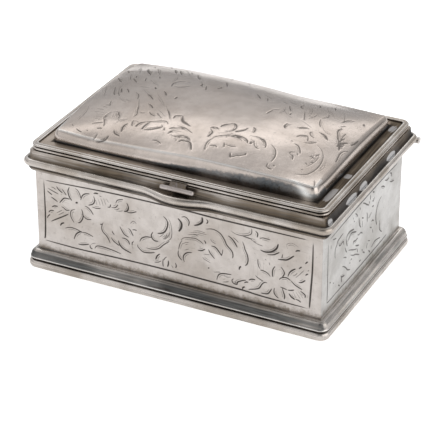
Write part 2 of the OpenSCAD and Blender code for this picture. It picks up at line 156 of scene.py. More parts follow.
# Bottom plate: one flat sheet, soldered in flush with the foot. Only its underside ever shows, rubbed dull
# by standing on a desk. Its finish is the worn silver that every piece of the box shares.
def silver(name, metal, film, tarnish_and_shade_tones=((0.080, 0.060, 0.042), (0.26, 0.21, 0.155)), rough=0.27, blotch=0.35, scratch=0.5,
           grime=1.0, drawn=False, ink=0.80):
    """Worn silver. Soft blotches of film lie on the metal; the "dark" attribute carries tarnish in recesses and
    painted shade under mouldings and in the angles between parts, going near black above 1, "cut" the oxide in
    engraved lines, "worn" the places in a recess that are rubbed clear again, and one more attribute the painted
    highlights, light lines and glints laid on edges. The fourth argument gives the darkest and lightest tones of
    tarnish and painted shade. Drawn silver is streaked along the length of its piece, which the attribute "lay"
    follows."""
    # near black for oxide and deep painted shade, the grey of rubbed places, and the light colour of painted
    # highlights
    oxide_and_shade_black, rubbed_grey, highlight_colour = (0.035, 0.030, 0.027), (0.42, 0.42, 0.43), (0.95, 0.94, 0.92)
    material = bpy.data.materials.new(name)
    material.use_nodes = True
    n = Nodes(material.node_tree)
    place = n.add("ShaderNodeTexCoord").outputs["Object"]
    along = n.add("ShaderNodeAttribute", attribute_name="lay").outputs["Vector"] if drawn else place

    def noise(where, size, detail=3.0, stretch=(1, 1, 1), turn=(0, 0, 0), lean=0.5):
        where = n.add("ShaderNodeMapping", {"Vector": where, "Scale": stretch, "Rotation": turn}).outputs[0]
        inputs = {"Vector": where, "Scale": 1 / size, "Detail": detail, "Roughness": lean}
        return n.add("ShaderNodeTexNoise", inputs).outputs["Fac"]

    def field(attribute):
        return n.add("ShaderNodeAttribute", attribute_name=attribute).outputs["Fac"]

    def ragged(attribute, amount):
        return n.plus(field(attribute), n.times(n.less(speckle, 0.5), amount))

    def covered(colour, share, strength, tone, dimmed=1.0):
        return n.mix(n.times(share, strength), colour, (*[dimmed * c for c in tone], 1))

    soft = noise(place, 9 * mm, 4)
    if drawn:
        speckle = noise(along, 0.50 * mm, 2.5, (0.05, 1, 1), lean=0.6)
        hairs = n.ramp(noise(along, 0.30 * mm, 1, (0.03, 1, 1)), 0.58, 0.72)
    else:
        speckle = noise(place, 0.8 * mm, 4, lean=0.65)
        hair = [noise(place, 0.22 * mm, 2, stretch, turn) for stretch, turn in
                (((1, 0.05, 1), (0.6, 0, 0.4)), ((0.06, 1, 1), (0, 0.5, -0.25)), ((1, 1, 0.06), (-0.3, -0.4, 0)))]
        lines = [n.ramp(h, 0.65, 0.76) for h in hair]
        hairs = n.most(lines[0], n.most(lines[1], lines[2]))
    colour = covered((*metal, 1), n.ramp(soft, 0.42, 0.68), blotch, film)
    colour = covered(colour, n.ramp(speckle, 0.60, 0.80), 0.30 * grime, film, 0.45)
    patches = n.ramp(noise(place, 2.6 * mm, 5, lean=0.62), 0.38, 0.66)
    colour = covered(colour, patches, 0.30 * blotch, film, 0.75)
    colour = covered(colour, hairs, 0.16 * grime, film, 0.5)
    # tarnish and painted shade: the darkness value is pushed up and down by noise, so that its edge is ragged
    darkness = ragged("dark", 1.3)
    tarnish_and_shade = n.times(n.ramp(darkness, 0.10, 0.90), n.ramp(soft, 0.25, 0.6, 0.80, 1.0))
    worn = n.ramp(ragged("worn", 0.3), 0.4, 0.55)
    tarnish_and_shade = n.times(tarnish_and_shade, n.less(1.0, worn))
    brown = n.mix(n.ramp(speckle, 0.35, 0.65), (*tarnish_and_shade_tones[0], 1), (*tarnish_and_shade_tones[1], 1))
    brown = n.mix(n.ramp(darkness, 0.95, 1.35), brown, (*oxide_and_shade_black, 1))
    colour = n.mix(tarnish_and_shade, colour, brown)
    colour = covered(colour, worn, 0.8, rubbed_grey)
    # painted highlights: light lines and glints along edges
    colour = covered(colour, field("bare"), 0.9, highlight_colour)
    inked = n.ramp(field("cut"), 0.35, 0.95)
    colour = covered(colour, inked, ink, oxide_and_shade_black, 1.6)
    shine = n.plus(rough, n.times(n.ramp(soft, 0.3, 0.7), 0.08))
    shine = n.plus(shine, n.times(n.most(tarnish_and_shade, inked), 0.20))
    waves = n.add("ShaderNodeBump", {"Height": soft, "Strength": 0.30, "Distance": 0.35 * mm}).outputs[0]
    rub = n.plus(n.times(hairs, -0.6), n.times(speckle, 0.5))
    fine = n.add("ShaderNodeBump", {"Height": rub, "Strength": scratch, "Distance": 0.012 * mm, "Normal": waves})
    metal_shader = n.add("ShaderNodeBsdfPrincipled", {"Base Color": colour, "Metallic": 1.0, "Roughness": shine,
                                                      "Normal": fine.outputs[0]})
    n.add("ShaderNodeOutputMaterial", {"Surface": metal_shader.outputs[0]})
    return material


def dress(node, material):
    """Gives a node of the frame, whose shape is already right, its finish in place of its plain one."""
    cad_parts[node].data.materials.clear()
    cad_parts[node].data.materials.append(material)


dull_silver = silver("dull_silver", (0.60, 0.55, 0.53), (0.40, 0.34, 0.30), rough=0.42, scratch=0.9)
dress("base_plate", dull_silver)


# Foot: a drawn silver strip in four mitred lengths, its corners rounded after soldering. From the table up it
# has a lower roll, a groove, a thin fillet, a broad torus and a narrow ledge against the wall.
def arc(cx, cy, rx, ry, first, last, steps, dark=0.0, dark_end=None):
    """Points along an elliptical arc between two angles in degrees, as rows of outset, height and tarnish."""
    t = np.linspace(0, 1, steps + 1)
    angle = np.radians(first + (last - first) * t)
    shade = dark + ((dark if dark_end is None else dark_end) - dark) * t
    return np.stack([cx + rx * np.cos(angle), cy + ry * np.sin(angle), shade], 1)


def quads_of(number):
    """The four-cornered faces between neighbours on a grid of vertex numbers."""
    corners = number[:-1, :-1], number[1:, :-1], number[1:, 1:], number[:-1, 1:]
    return np.stack(corners, -1).reshape(-1, 4).tolist()


def grid_faces(points, first=0, ring=False):
    """The faces of a closed skin on a grid of points, whose vertices are numbered from first. The first index
    runs along the piece and the second round its section. Each end is closed by one face, or a ring's last
    row is joined to its first."""
    rows, columns = points.shape[:2]
    number = first + np.arange(rows * columns).reshape(rows, columns)
    closed = np.column_stack([number, number[:, 0]])
    if ring:
        return quads_of(np.vstack([closed, closed[:1]]))
    return quads_of(closed) + [number[0].tolist(), number[-1, ::-1].tolist()]


def surface(name, points, material, body, slot, ring=False, **fields):
    """A closed skin on one grid of points, in place of the node of its name."""
    skin(name, points.reshape(-1, 3), grid_faces(points, ring=ring), material, body, slot, **fields)


sharp_from = np.radians(35)


def skin(name, vertices, faces, material, body, slot, **fields):
    """Makes the mesh from metre points and faces, turns it outwards if its volume comes out negative, shades
    it smooth but for sharp edges, stores one value a vertex for each named field, and joins the frame."""
    mesh = bpy.data.meshes.new(name)
    mesh.from_pydata(vertices, [], faces)
    mesh.calc_loop_triangles()
    corner = np.empty(len(mesh.loop_triangles) * 3, int)
    mesh.loop_triangles.foreach_get("vertices", corner)
    a, b, c = vertices[corner.reshape(-1, 3)].transpose(1, 0, 2)
    if np.sum(a * np.cross(b, c)) < 0:
        mesh.flip_normals()
    mesh.shade_smooth()
    mesh.set_sharp_from_angle(angle=sharp_from)
    for field, values in fields.items():
        kind, key = ("FLOAT_VECTOR", "vector") if field == "lay" else ("FLOAT", "value")
        mesh.attributes.new(field, kind, "POINT").data.foreach_set(key, np.ravel(values).astype(np.float32))
    piece = bpy.data.objects.new(name, mesh)
    bpy.context.scene.collection.objects.link(piece)
    mesh.materials.append(material)
    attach(piece, body)
    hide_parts(name)


def waver(along, seed, size):
    """A slow, small wear along a hand-worked length, between 0 and size: five sine waves of 7 to 45 mm, of
    random phase, with their sum brought above zero."""
    dice = np.random.default_rng(seed)
    waves = zip(np.linspace(7, 45, 5) * mm, dice.uniform(0, 2 * np.pi, 5), dice.uniform(0.4, 1, 5))
    total = sum(h * np.sin(2 * np.pi * along / length + phase) for length, phase, h in waves)
    return size * np.clip(0.5 + total / 5, 0, 1)


def spanned(x, y, z):
    """Points from coordinates that need not all change along both ways of the grid."""
    return np.stack(np.broadcast_arrays(x, y, z), -1)


def turned(x, y, z, turn):
    """Points turned about the vertical axis, by an angle in radians."""
    c, s = np.cos(turn), np.sin(turn)
    return spanned(x * c - y * s, x * s + y * c, z)


def side_of(side, deeper, inset):
    """Where one side of a frame runs: its wall line, half its straight length, its turn and its shift in Y.
    deeper is how much further back the frame's rear side stands than the wall, and inset how far the corner
    centres lie inside the wall line."""
    long_side = side in ("front", "back")
    wall = half_d + (deeper if side == "back" else 0) if long_side else half_w
    half_run = (half_w if long_side else half_d + deeper / 2) - inset
    return wall, half_run, SIDES[side], 0 if long_side else deeper / 2


def run_of(section, wall, half_run, turn, shift, inset, bow=None, corner_steps=12, seed=0):
    """One side of a moulded frame, as rows of points: the section stands on its wall line, runs straight between
    the corner centres and swings 45 degrees round each of them. Section points further in than the inset are
    mitred. bow gives an extra outset along the side, and seed its own wear."""
    phi = np.radians(np.linspace(0, 45, corner_steps + 1)[1:])
    straight = np.linspace(-1, 1, 91)
    angle = np.concatenate([-phi[::-1], 0 * straight, phi])[:, None]
    along = np.concatenate([-1 + 0 * phi, straight, 1 + 0 * phi])[:, None]
    even = np.linspace(-1, 1, len(along))[:, None]
    outset = section[None, :, 0] + (0 if bow is None else bow(along * half_run))
    outset = outset - waver(along * half_run, seed, wear) * (section[None, :, 0] > 0.5 * mm)
    radius = outset + inset
    round_x = wall - inset + np.maximum(radius, 0) * np.cos(angle)
    round_y = along * half_run + np.maximum(radius, 0) * np.sin(angle)
    mitre_x = wall - inset + radius
    mitre_y = even * (half_run + radius)
    x = np.where(radius > 0, round_x, mitre_x)
    y = np.where(radius > 0, round_y, mitre_y)
    return turned(x, y, section[:, 1], turn) + (0, shift, 0)


SIDES = {"right": 0, "back": np.pi / 2, "left": np.pi, "front": -np.pi / 2}
wear = 0.04 * mm
highlight_r, patch_r = 0.10 * mm, 0.80 * mm
low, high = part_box("front_wall")
half_w, half_d = high.x, -low.y
wall_top = high.z

foot_low, foot_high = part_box("foot_front")
foot_h = foot_high.z
foot_out = -foot_low.y - half_d
sunk = -0.05 * mm
roll_h, groove_h, fillet_h = 0.88 * mm, 0.48 * mm, 0.25 * mm
torus_low = 2 * roll_h + groove_h + fillet_h
torus_top = foot_h - 0.12 * mm
torus_x, torus_r = foot_out - 1.75 * mm, 1.35 * mm
# the third column is darkness: black in the groove, and darker over the torus's outward face than over its top
foot_section = np.concatenate([
    [[sunk, 0, 0.4], [foot_out - 0.7 * mm, 0, 0.4]],
    arc(foot_out - 0.6 * mm, roll_h, 0.6 * mm, roll_h, -88, 88, 14, 0.0, 0.10),
    arc(foot_out - 0.60 * mm, 2 * roll_h + 0.18 * mm, 0.14 * mm, 0.18 * mm, 220, 140, 4, 1.6),
    [[foot_out - 0.27 * mm, torus_low - fillet_h - 0.02 * mm, 1.1]],
    arc(foot_out - 0.35 * mm, torus_low - fillet_h / 2, 0.10 * mm, fillet_h / 2, -80, 70, 5, 0.0),
    *[arc(torus_x, torus_low, torus_r, torus_top - torus_low, *part) for part in
      ((3, 46, 8, 0.95, 0.80), (52, 88, 7, 0.45, 0.20))],
    [[torus_x - 0.10 * mm, torus_top - 0.02 * mm, 0.35], [0.10 * mm, foot_h - 0.10 * mm, 0.7]],
    [[sunk, foot_h, 0.5]]])


def highlighted(section, *places):
    """How strong the painted highlight is at each point of a section: 1 at each listed place, fading over a tenth of
    a mm.
    """
    away = [np.sum((section[:, :2] - place) ** 2, 1) for place in places]
    return np.exp(-np.min(away, axis=0) / highlight_r**2)


def moulding(name, section, side, deeper, inset, body, material, seed, bare, worn=(), worn_at=(0, 0), bow=None,
             on_right=0.45):
    """Makes one side of the foot, rim or lid frame. worn lists places along the side, from its middle, and
    reaches of rounded patches that are rubbed clear, centred on the point worn_at of the section. on_right
    is added to the darkness in the recesses of the right side: more on the rim and lid frame, less on the foot."""
    wall, half_run, turn, shift = side_of(side, deeper, inset)
    points = run_of(section, wall, half_run, turn, shift, inset, bow, seed=seed)
    rows = len(points)
    along = np.linspace(-half_run, half_run, rows)[:, None]
    rubbed = sum((np.exp(-((along - middle) / reach) ** 2) for middle, reach in worn), 0 * along)
    rubbed = rubbed * np.exp(-np.sum((section[:, :2] - worn_at) ** 2, 1) / patch_r**2)
    dark = section[None, :, 2] + waver(along, seed + 70, 0.5) - 0.25
    dark = np.where((section[None, :, 2] > 0.5) & (side == "right"), dark + on_right, dark)
    girth = np.cumsum(np.hypot(*np.diff(section[:, :2], axis=0, prepend=section[:1, :2]).T))
    lay = spanned(along, girth, seed * 5 * mm)
    # painted highlight along the section's edges, its strength wandering along the length
    shine = bare * (0.55 + 0.45 * waver(along, seed + 90, 1.0))
    surface(name, points, material, body, "silver_moulding", dark=dark, worn=rubbed, lay=lay, bare=shine)


foot_dark_tones = (0.055, 0.055, 0.055), (0.19, 0.19, 0.185)
foot_silver = silver("foot_silver", (0.68, 0.63, 0.59), (0.42, 0.37, 0.32), foot_dark_tones, rough=0.20, blotch=0.8,
                     scratch=0.1, grime=1.4, drawn=True)
foot_bare = highlighted(foot_section, (foot_out - 0.30 * mm, torus_low - 0.08 * mm), (torus_x + 0.25 * mm, torus_top))
for order, side in enumerate(SIDES):
    moulding(f"foot_{side}", foot_section, side, 0, 0, "case", foot_silver, order, foot_bare, on_right=-0.5)


# Walls: four sheets with mitred edges, engraved by hand before they were soldered up. Each has a border line
# and, inside it, flowers and acanthus scrolls cut with a V-shaped graver, the cuts black with old oxide.
def stroke(width, *numbers):
    """One push of the graver, in millimetres: a smooth curve through the listed points, each piece of it a cubic
    whose ends run parallel to their neighbours' chord. The cut opens and closes along the way. Rows of x, y
    and half width."""
    pegs = np.array(numbers, float).reshape(-1, 2)
    pegs = np.vstack([2 * pegs[0] - pegs[1], pegs, 2 * pegs[-1] - pegs[-2]])
    u = np.linspace(0, 1, 7, endpoint=False)[:, None]
    parts = [0.5 * (2 * b + (c - a) * u + (2 * a - 5 * b + 4 * c - d) * u**2 + (3 * b - a - 3 * c + d) * u**3)
             for a, b, c, d in zip(pegs, pegs[1:], pegs[2:], pegs[3:])]
    line = np.vstack([*parts, pegs[-2:-1]])
    t = np.linspace(0, 1, len(line))[:, None]
    swell = (4 * t * (1 - t)) ** 0.25 * (0.85 + 0.3 * t)
    return np.hstack([line, width / 2 * swell + 0.02])


def shaded(cuts, width=0.13):
    """The cuts and, inside the bend of every long curved one, a shorter and finer companion that shades it."""
    away, fine = 0.42, []
    for cut in cuts:
        line = cut[:, :2]
        run = np.diff(line, axis=0)
        length = np.linalg.norm(run, axis=1).sum()
        chord, half_way = line[-1] - line[0], line[len(line) // 2] - line[0]
        bend = chord[0] * half_way[1] - chord[1] * half_way[0]
        if 1.6 < length < 12 and abs(bend) > 0.12 * length and len(line) > 14:
            middle = slice(len(line) // 5, -(len(line) // 6))
            direction = np.gradient(line, axis=0)
            direction /= np.linalg.norm(direction, axis=1)[:, None] + 1e-9
            side = direction @ np.array([[0, 1], [-1, 0]]) * -np.sign(bend)
            echo = (line + away * side)[middle]
            half = width / 2 * np.sin(np.pi * np.linspace(0.1, 0.9, len(echo))) ** 0.5 + 0.02
            fine.append(np.column_stack([echo, half]))
    return cuts + fine


def mirrored(cuts):
    """The same cuts turned over left to right."""
    return [cut * (-1, 1, 1) for cut in cuts]


def cut_depth(cuts, x, y):
    """How far inside a cut each point of the grid x by y lies, in metres, and negative outside. For every
    stroke it is half the cut's width at the nearest place of its middle line, less the distance to it."""
    inside = np.full((len(x), len(y)), -1.0)
    for cut in cuts:
        pad = 0.6
        i = slice(*np.searchsorted(x / mm, (cut[:, 0].min() - pad, cut[:, 0].max() + pad)))
        j = slice(*np.searchsorted(y / mm, (cut[:, 1].min() - pad, cut[:, 1].max() + pad)))
        here = np.stack(np.meshgrid(x[i] / mm, y[j] / mm, indexing="ij"), -1)[:, :, None]
        if here.size:
            a, step = cut[:-1, :2], np.diff(cut[:, :2], axis=0)
            t = np.clip(np.sum((here - a) * step, -1) / np.maximum(np.sum(step**2, -1), 1e-9), 0, 1)
            away = np.linalg.norm(here - a - t[..., None] * step, axis=-1)
            half = cut[:-1, 2] + t * np.diff(cut[:, 2])
            inside[i, j] = np.maximum(inside[i, j], (half - away).max(-1))
    return inside * mm


graver_slope = 0.45
cut_blur = 0.11 * mm
wall_t = high.y + half_d
wall_low = low.z
border_low, border_high = 6.2, 21.6
rim_starts, rim_shade_reach, foot_shade_reach = 22.9 * mm, 0.9 * mm, 1.6 * mm
dent_low, dent_span, dent_depth = 4 * mm, 18 * mm, 0.05 * mm


long_panel = [
    # border line
    (0.46, -31, 20.9, -25, 21.15, -15, 21.6, -4, 21.75, 0, 21.8, 5, 21.7, 10, 21.6, 20, 21.65, 30.2, 21.7),
    (0.48, -31.1, 21, -31.1, 13, -31.3, 8, -31.5, 6.6),
    (0.46, -31.5, 6.3, -28, 6.2, -22, 6.15, -10, 6.45, 0, 6.5, 5, 6.45, 15, 6.3, 20, 6, 30.3, 5.85),
    (0.5, 30.9, 21.6, 30.85, 15, 30.6, 10, 30.4, 5.85),
    # left flower
    (0.5, -23.5, 17.2, -23.1, 17.4), (0.38, -24.9, 20.7, -25.3, 19.5, -25, 18.3, -24.4, 17.5),
    (0.28, -23.6, 20.7, -22.9, 20.3, -22.4, 19.4, -22.3, 18.6),
    (0.34, -22.3, 18.1, -21.9, 19.2, -21.2, 19.9, -20, 20.2),
    (0.34, -19.15, 19.9, -18.9, 19, -19.3, 18, -20.5, 17.35),
    (0.32, -21.4, 17, -20.6, 16.8, -19.9, 16.2, -19.3, 15.3),
    (0.3, -22.1, 14.9, -21.5, 14.3, -20.9, 13.95, -19.8, 14.15),
    (0.36, -22.2, 16.1, -21.9, 15.2, -21.9, 14, -22.5, 12.9, -23.1, 12.5),
    (0.28, -23.6, 15.7, -24.7, 15, -24.8, 13.6, -24, 12.2),
    (0.36, -27.5, 16.2, -26.9, 17, -26.2, 17.7, -24.9, 17.75),
    (0.3, -27.1, 15.5, -26.5, 15.3, -25.9, 14.9, -25, 15.1),
    # fans of leaves left of it
    (0.36, -28.1, 20.1, -27.5, 19.4, -26.6, 18.8), (0.3, -26.8, 19.9, -26.1, 19, -25.7, 18.5),
    (0.22, -29.4, 19.6, -28.8, 19.6, -28.2, 19.2), (0.28, -30.2, 19.2, -29.2, 18.8, -27.5, 18.3),
    (0.34, -30.4, 18.5, -29.8, 18.1, -29.2, 17.8), (0.34, -29.5, 17.2, -28.8, 16.9, -27.9, 16.4),
    (0.36, -29.4, 14.8, -28.8, 15.2, -27.9, 15.3), (0.32, -30.3, 13.3, -29.7, 13.9, -28.9, 14),
    (0.18, -28.4, 13.6, -26.8, 14.7), (0.18, -28, 13.2, -26.4, 14.3), (0.3, -30.7, 11.8, -30.4, 12.4, -29.9, 12.9),
    (0.36, -29.8, 11.2, -28.6, 12, -27.3, 12.8, -25.3, 14.1), (0.4, -27.5, 10.7, -27.2, 11.3, -26.5, 11.7),
    # stems under it
    (0.3, -26.5, 10.35, -25.2, 10.9, -23.9, 10.9, -22.3, 10.5),
    (0.4, -24.3, 8.2, -23.7, 9.6, -22.8, 10.4, -22.2, 10.5), (0.3, -22.3, 10.4, -21.2, 10.5, -19.4, 10),
    (0.34, -23.3, 7.35, -22.3, 7.4, -20.5, 8), (0.34, -20.4, 7.9, -20.3, 7.2, -19.8, 7),
    (0.16, -20.2, 8, -19.6, 8.4, -19, 8.6), (0.34, -19.3, 7.2, -18.7, 8, -17.2, 8.15, -15, 7.95, -12.8, 7.55),
    # tendril
    (0.4, -19.1, 20.5, -18.6, 20.7, -18, 20.7), (0.2, -17.9, 20.3, -17.2, 20.2),
    (0.28, -19.6, 17.2, -18.6, 17.1, -17.5, 17.35), (0.3, -15.9, 18.05, -15.3, 18.2, -15.1, 18.9),
    (0.28, -15, 18.2, -14, 18.4, -13.3, 19.3), (0.2, -14.4, 17.9, -13.6, 18, -13, 18.5),
    (0.18, -13.9, 17.6, -12.9, 17.8, -12.2, 18.1), (0.16, -19, 19.4, -18.5, 18.6, -18.4, 17.9),
    (0.16, -18.2, 19.7, -17.8, 18.8, -17.6, 18), (0.16, -17.5, 19.9, -17.1, 19, -16.9, 18.1),
    (0.16, -16.8, 20, -16.5, 19.2, -16.2, 18.4), (0.16, -16.1, 20.1, -15.8, 19.5, -15.5, 19.2),
    (0.28, -13.9, 19.4, -13.4, 20.3, -12, 20.8), (0.42, -11.3, 20.3, -10.9, 19.2, -11.2, 18.3, -12, 18),
    (0.3, -11.3, 17.95, -10.2, 18.1, -8.9, 18.7),
    # first acanthus
    (0.32, -17, 14.2, -17.4, 13, -17.2, 11.9, -16.1, 10.8, -15.4, 9.4), (0.3, -17.8, 13.45, -17.3, 13.6),
    (0.34, -15.2, 11, -14.6, 10.2, -13.2, 9.4), (0.42, -13.5, 10.7, -13.2, 9.8, -12.4, 9, -10.3, 8.3),
    (0.3, -14.9, 12.6, -14.8, 12.2, -14.4, 11.8), (0.34, -13.1, 14.2, -12.6, 13.3, -12, 12.5, -10.9, 12),
    (0.34, -12.7, 11.5, -11.8, 11.5, -11.1, 11.1, -10.8, 10.3),
    (0.32, -11.1, 14.2, -10.6, 13.9, -10.2, 13.2, -9.9, 12.6), (0.3, -10.1, 14.05, -9.6, 14.2, -9, 14.2),
    (0.2, -10.6, 15.4, -9.8, 16.2, -9, 15.7), (0.3, -9.8, 11.4, -10.2, 10.9, -10.2, 10.3),
    (0.34, -8.9, 10.9, -8.8, 10.3, -8, 9.6, -7.3, 9.4, -6, 9.6, -4.8, 10),
    (0.3, -7.1, 10.6, -5.6, 10.6, -4, 11.1, -2.7, 12.4, -1.3, 13.6),
    (0.34, -8.4, 11.7, -7.9, 12.6, -6.9, 13.2, -5.5, 13.4),
    (0.38, -5.2, 14.8, -5.6, 14, -5.4, 13.2, -4.8, 12.8, -4, 12.85),
    (0.42, -2.8, 19.2, -1.9, 18.3, -1.8, 17, -2.4, 15.6, -3.2, 15, -4.2, 14.7),
    (0.2, -1.7, 19, -1.2, 18.2, -0.9, 17, -0.8, 15.5, -1.1, 14.2, -2.2, 13.2),
    (0.22, -1.3, 15.8, -1.7, 14.6, -2.6, 13.6), (0.18, -1.8, 15, -2.3, 14.2, -3, 13.6),
    (0.16, -2.6, 15.1, -3.1, 14.5, -3.8, 13.9),
    # cluster under it
    (0.4, -3.6, 10, -4.3, 9.3, -4.7, 8.3), (0.26, -3.3, 8.4, -4, 7.9, -5, 7.6), (0.3, -2.9, 9, -3, 8, -2.9, 7),
    (0.24, -2, 9.7, -2.5, 9.2, -2.8, 8.6), (0.4, -1.7, 8.9, -1.7, 8.1, -1.9, 7.3),
    (0.32, -0.1, 8.8, 0.15, 8.1, 0, 7.5), (0.18, -1, 8, -0.6, 7.3),
    # second acanthus
    (0.6, 0.6, 19.5, 1.4, 18.6, 1.4, 17.5, 0.8, 16.4), (0.32, 1.4, 19.95, 2.4, 20.2, 3.2, 19.4, 3.05, 18.2),
    (0.55, 4.3, 18.7, 5.4, 19.2, 6.2, 20, 6.2, 21.1), (0.34, 7.2, 20.9, 7.5, 20.4, 7.2, 19.8),
    (0.36, 6.9, 18.5, 8.6, 18.9, 10.2, 18.4, 11.2, 17.2, 11.8, 16, 12.9, 14.9, 13.2, 14, 13.1, 13.2),
    (0.18, 4.1, 17.35, 5.5, 17.7, 7, 17.6), (0.16, 3.2, 16.8, 5, 17.2, 7.4, 17.3),
    (0.2, 2.8, 16.2, 4.4, 16.6, 5.4, 16.4), (0.26, 1.2, 14.4, 2, 15.2, 3.6, 15.6, 4.8, 15.7, 6, 15.2, 6.5, 14.8),
    (0.16, 1.6, 13.6, 2.4, 14.2, 3.2, 14.4), (0.24, 1.6, 14.6, 1, 13.4, 0.7, 12),
    (0.34, 0.7, 12, 0.6, 11, 0.9, 10.3, 1.5, 9.7), (0.34, 2.1, 9.4, 1.8, 10.2, 1.9, 11, 2.6, 11.8, 3.9, 12.2),
    (0.16, 2.1, 12.3, 2.6, 12.6, 3.2, 12.9), (0.36, 5.1, 13.1, 6, 13.2, 6.9, 13.8),
    (0.34, 6.6, 15.8, 6.9, 15.5, 7, 15.1), (0.34, 7.6, 14, 7.9, 13.3, 8.3, 12.8, 9.1, 12),
    (0.18, 6.4, 12.5, 7.2, 12.6, 7.9, 12.7), (0.38, 8.2, 14.9, 9.2, 14.8, 10, 14, 10.7, 13.1),
    (0.24, 10.9, 14.8, 10.8, 14, 10.6, 13.1), (0.2, 8.1, 16.6, 8.4, 16, 9.4, 15.6),
    (0.2, 6.2, 11.8, 6.8, 11.3, 8.2, 10.8), (0.36, 7.55, 9.4, 7.75, 9.6),
    (0.4, 12, 18.3, 12.9, 17.8, 13.6, 17, 14.2, 16), (0.22, 13.1, 18.2, 13.8, 17.8, 14.5, 17.2),
    (0.36, 15.3, 17.8, 15.7, 16.8, 15.9, 16, 16.4, 14.9, 16.6, 13.8, 16.4, 12.7, 15.9, 12.2),
    (0.44, 14.6, 10.9, 14.7, 11.4, 15, 11.8),
    (0.24, 12.6, 19.6, 13.8, 19.1, 15.5, 19.1, 17.1, 19.8, 17.4, 20.6, 17.3, 21.3),
    (0.3, 15.3, 19, 16.4, 18.9, 17.5, 18.8),
    # scroll under it
    (0.36, 9.5, 7.1, 9.8, 8.2, 10.3, 8.8, 11.3, 9.1, 13, 9.3), (0.2, 8.8, 8.8, 9.8, 9.1, 10.4, 9.2),
    (0.16, 11, 8.5, 12, 8.5, 12.8, 8.7), (0.22, 10.8, 7, 11.6, 7.2, 12.3, 7.5),
    (0.36, 13.4, 8.5, 13, 8, 13.3, 7.4, 14.1, 7.3, 14.3, 7.9, 15.3, 8.5, 16.3, 8.9),
    (0.36, 15.8, 8.1, 16.2, 8.4, 16.7, 8.5), (0.4, 15.4, 6.5, 15.5, 6.9, 15.9, 7.2),
    (0.38, 16.8, 9, 17.4, 9.4, 18.3, 9.5),
    # leaves in the top right corner
    (0.36, 18.2, 20.9, 18.7, 20.4, 18.6, 19.5), (0.28, 19.1, 19.3, 19.8, 19.7, 20.6, 19.7, 21.6, 19.7),
    (0.5, 19.3, 16.8, 20.4, 16.6, 21.8, 17, 22.9, 18, 23.3, 19.2),
    (0.36, 20.8, 16.1, 22.2, 16.4, 23, 16.9, 23.6, 17.3), (0.2, 17.7, 18.3, 18.7, 18, 20, 17.8),
    (0.2, 16.9, 18.9, 17.6, 18.5, 18.5, 18.3), (0.44, 23.2, 15.6, 24.4, 15.8, 25.4, 16.1, 26.9, 17.4),
    (0.26, 24.3, 17.1, 24.2, 16.5, 24.1, 16.2), (0.4, 27.1, 18.4, 27.5, 18.7, 28.1, 18.8),
    (0.14, 25.4, 18.4, 25.2, 19.6, 26.4, 20.1, 27.9, 19.5), (0.36, 29.3, 16.1, 29.5, 16.4, 29.8, 16.7),
    (0.36, 27.9, 14.6, 28.2, 14.9, 28.5, 15.2), (0.4, 25.5, 12.1, 25.9, 13.2, 26.5, 13.9, 27.2, 14.4),
    (0.16, 27.2, 12.3, 28, 13.2, 29.1, 14.6), (0.16, 26.6, 12.6, 27.2, 13, 27.6, 13.6),
    (0.36, 29.4, 13.4, 29.6, 13.7, 29.9, 13.9), (0.2, 29.8, 14.5, 30.1, 14.8),
    (0.38, 27.9, 11.4, 28.6, 11.6, 29.4, 12.3),
    # right flower
    (0.36, 22.7, 13.9, 22.2, 13, 22.1, 12, 22.2, 11.2), (0.36, 23.9, 14.1, 24.6, 13.2, 24.7, 12.5, 24.3, 11.7),
    (0.34, 23.6, 10.9, 24.1, 11.5, 25.2, 11.8, 26.2, 11.4), (0.36, 26.1, 11.5, 27, 10.7, 27.8, 10.3, 28.8, 9.9),
    (0.3, 23.8, 9.3, 24.6, 9.2, 25.4, 9), (0.34, 25.5, 9, 26.2, 9.1, 27, 9.4),
    (0.36, 28.3, 9.5, 28.9, 9.2, 29.4, 8.8, 29.4, 8.2), (0.44, 25.8, 8.3, 26.4, 7.6, 27.2, 7.2),
    (0.36, 27.3, 7.3, 28, 7.2, 28.5, 6.9), (0.14, 27.3, 9.2, 27.9, 8.3, 28.5, 7.5),
    (0.14, 26.8, 8.9, 27.1, 8.2, 27.5, 7.5), (0.14, 27.8, 9.4, 28.5, 8.6, 29, 7.9),
    (0.36, 24.3, 9.2, 24.6, 8.3, 24.9, 7.4, 24.8, 6.6), (0.34, 22.6, 8.8, 22.5, 7.8, 22.8, 7.1, 23.6, 6.5),
    (0.36, 22, 8.4, 21.6, 7.6, 21, 6.9, 19.5, 6.7),
    (0.36, 21, 9.5, 20.3, 9.4, 19.7, 8.7, 19.2, 7.8, 18.3, 7.3, 16.7, 6.8),
    (0.28, 18.3, 10.6, 18.7, 10.2, 19.6, 9.8, 20.1, 9.6), (0.32, 21.7, 11.1, 21, 11.8, 20, 12.1, 19.4, 12.1),
    (0.28, 19.4, 12.2, 18.9, 13.2, 18.8, 14.6), (0.2, 20.4, 15, 20.7, 14.7), (0.2, 21.3, 14.5, 21.5, 13.7),
]

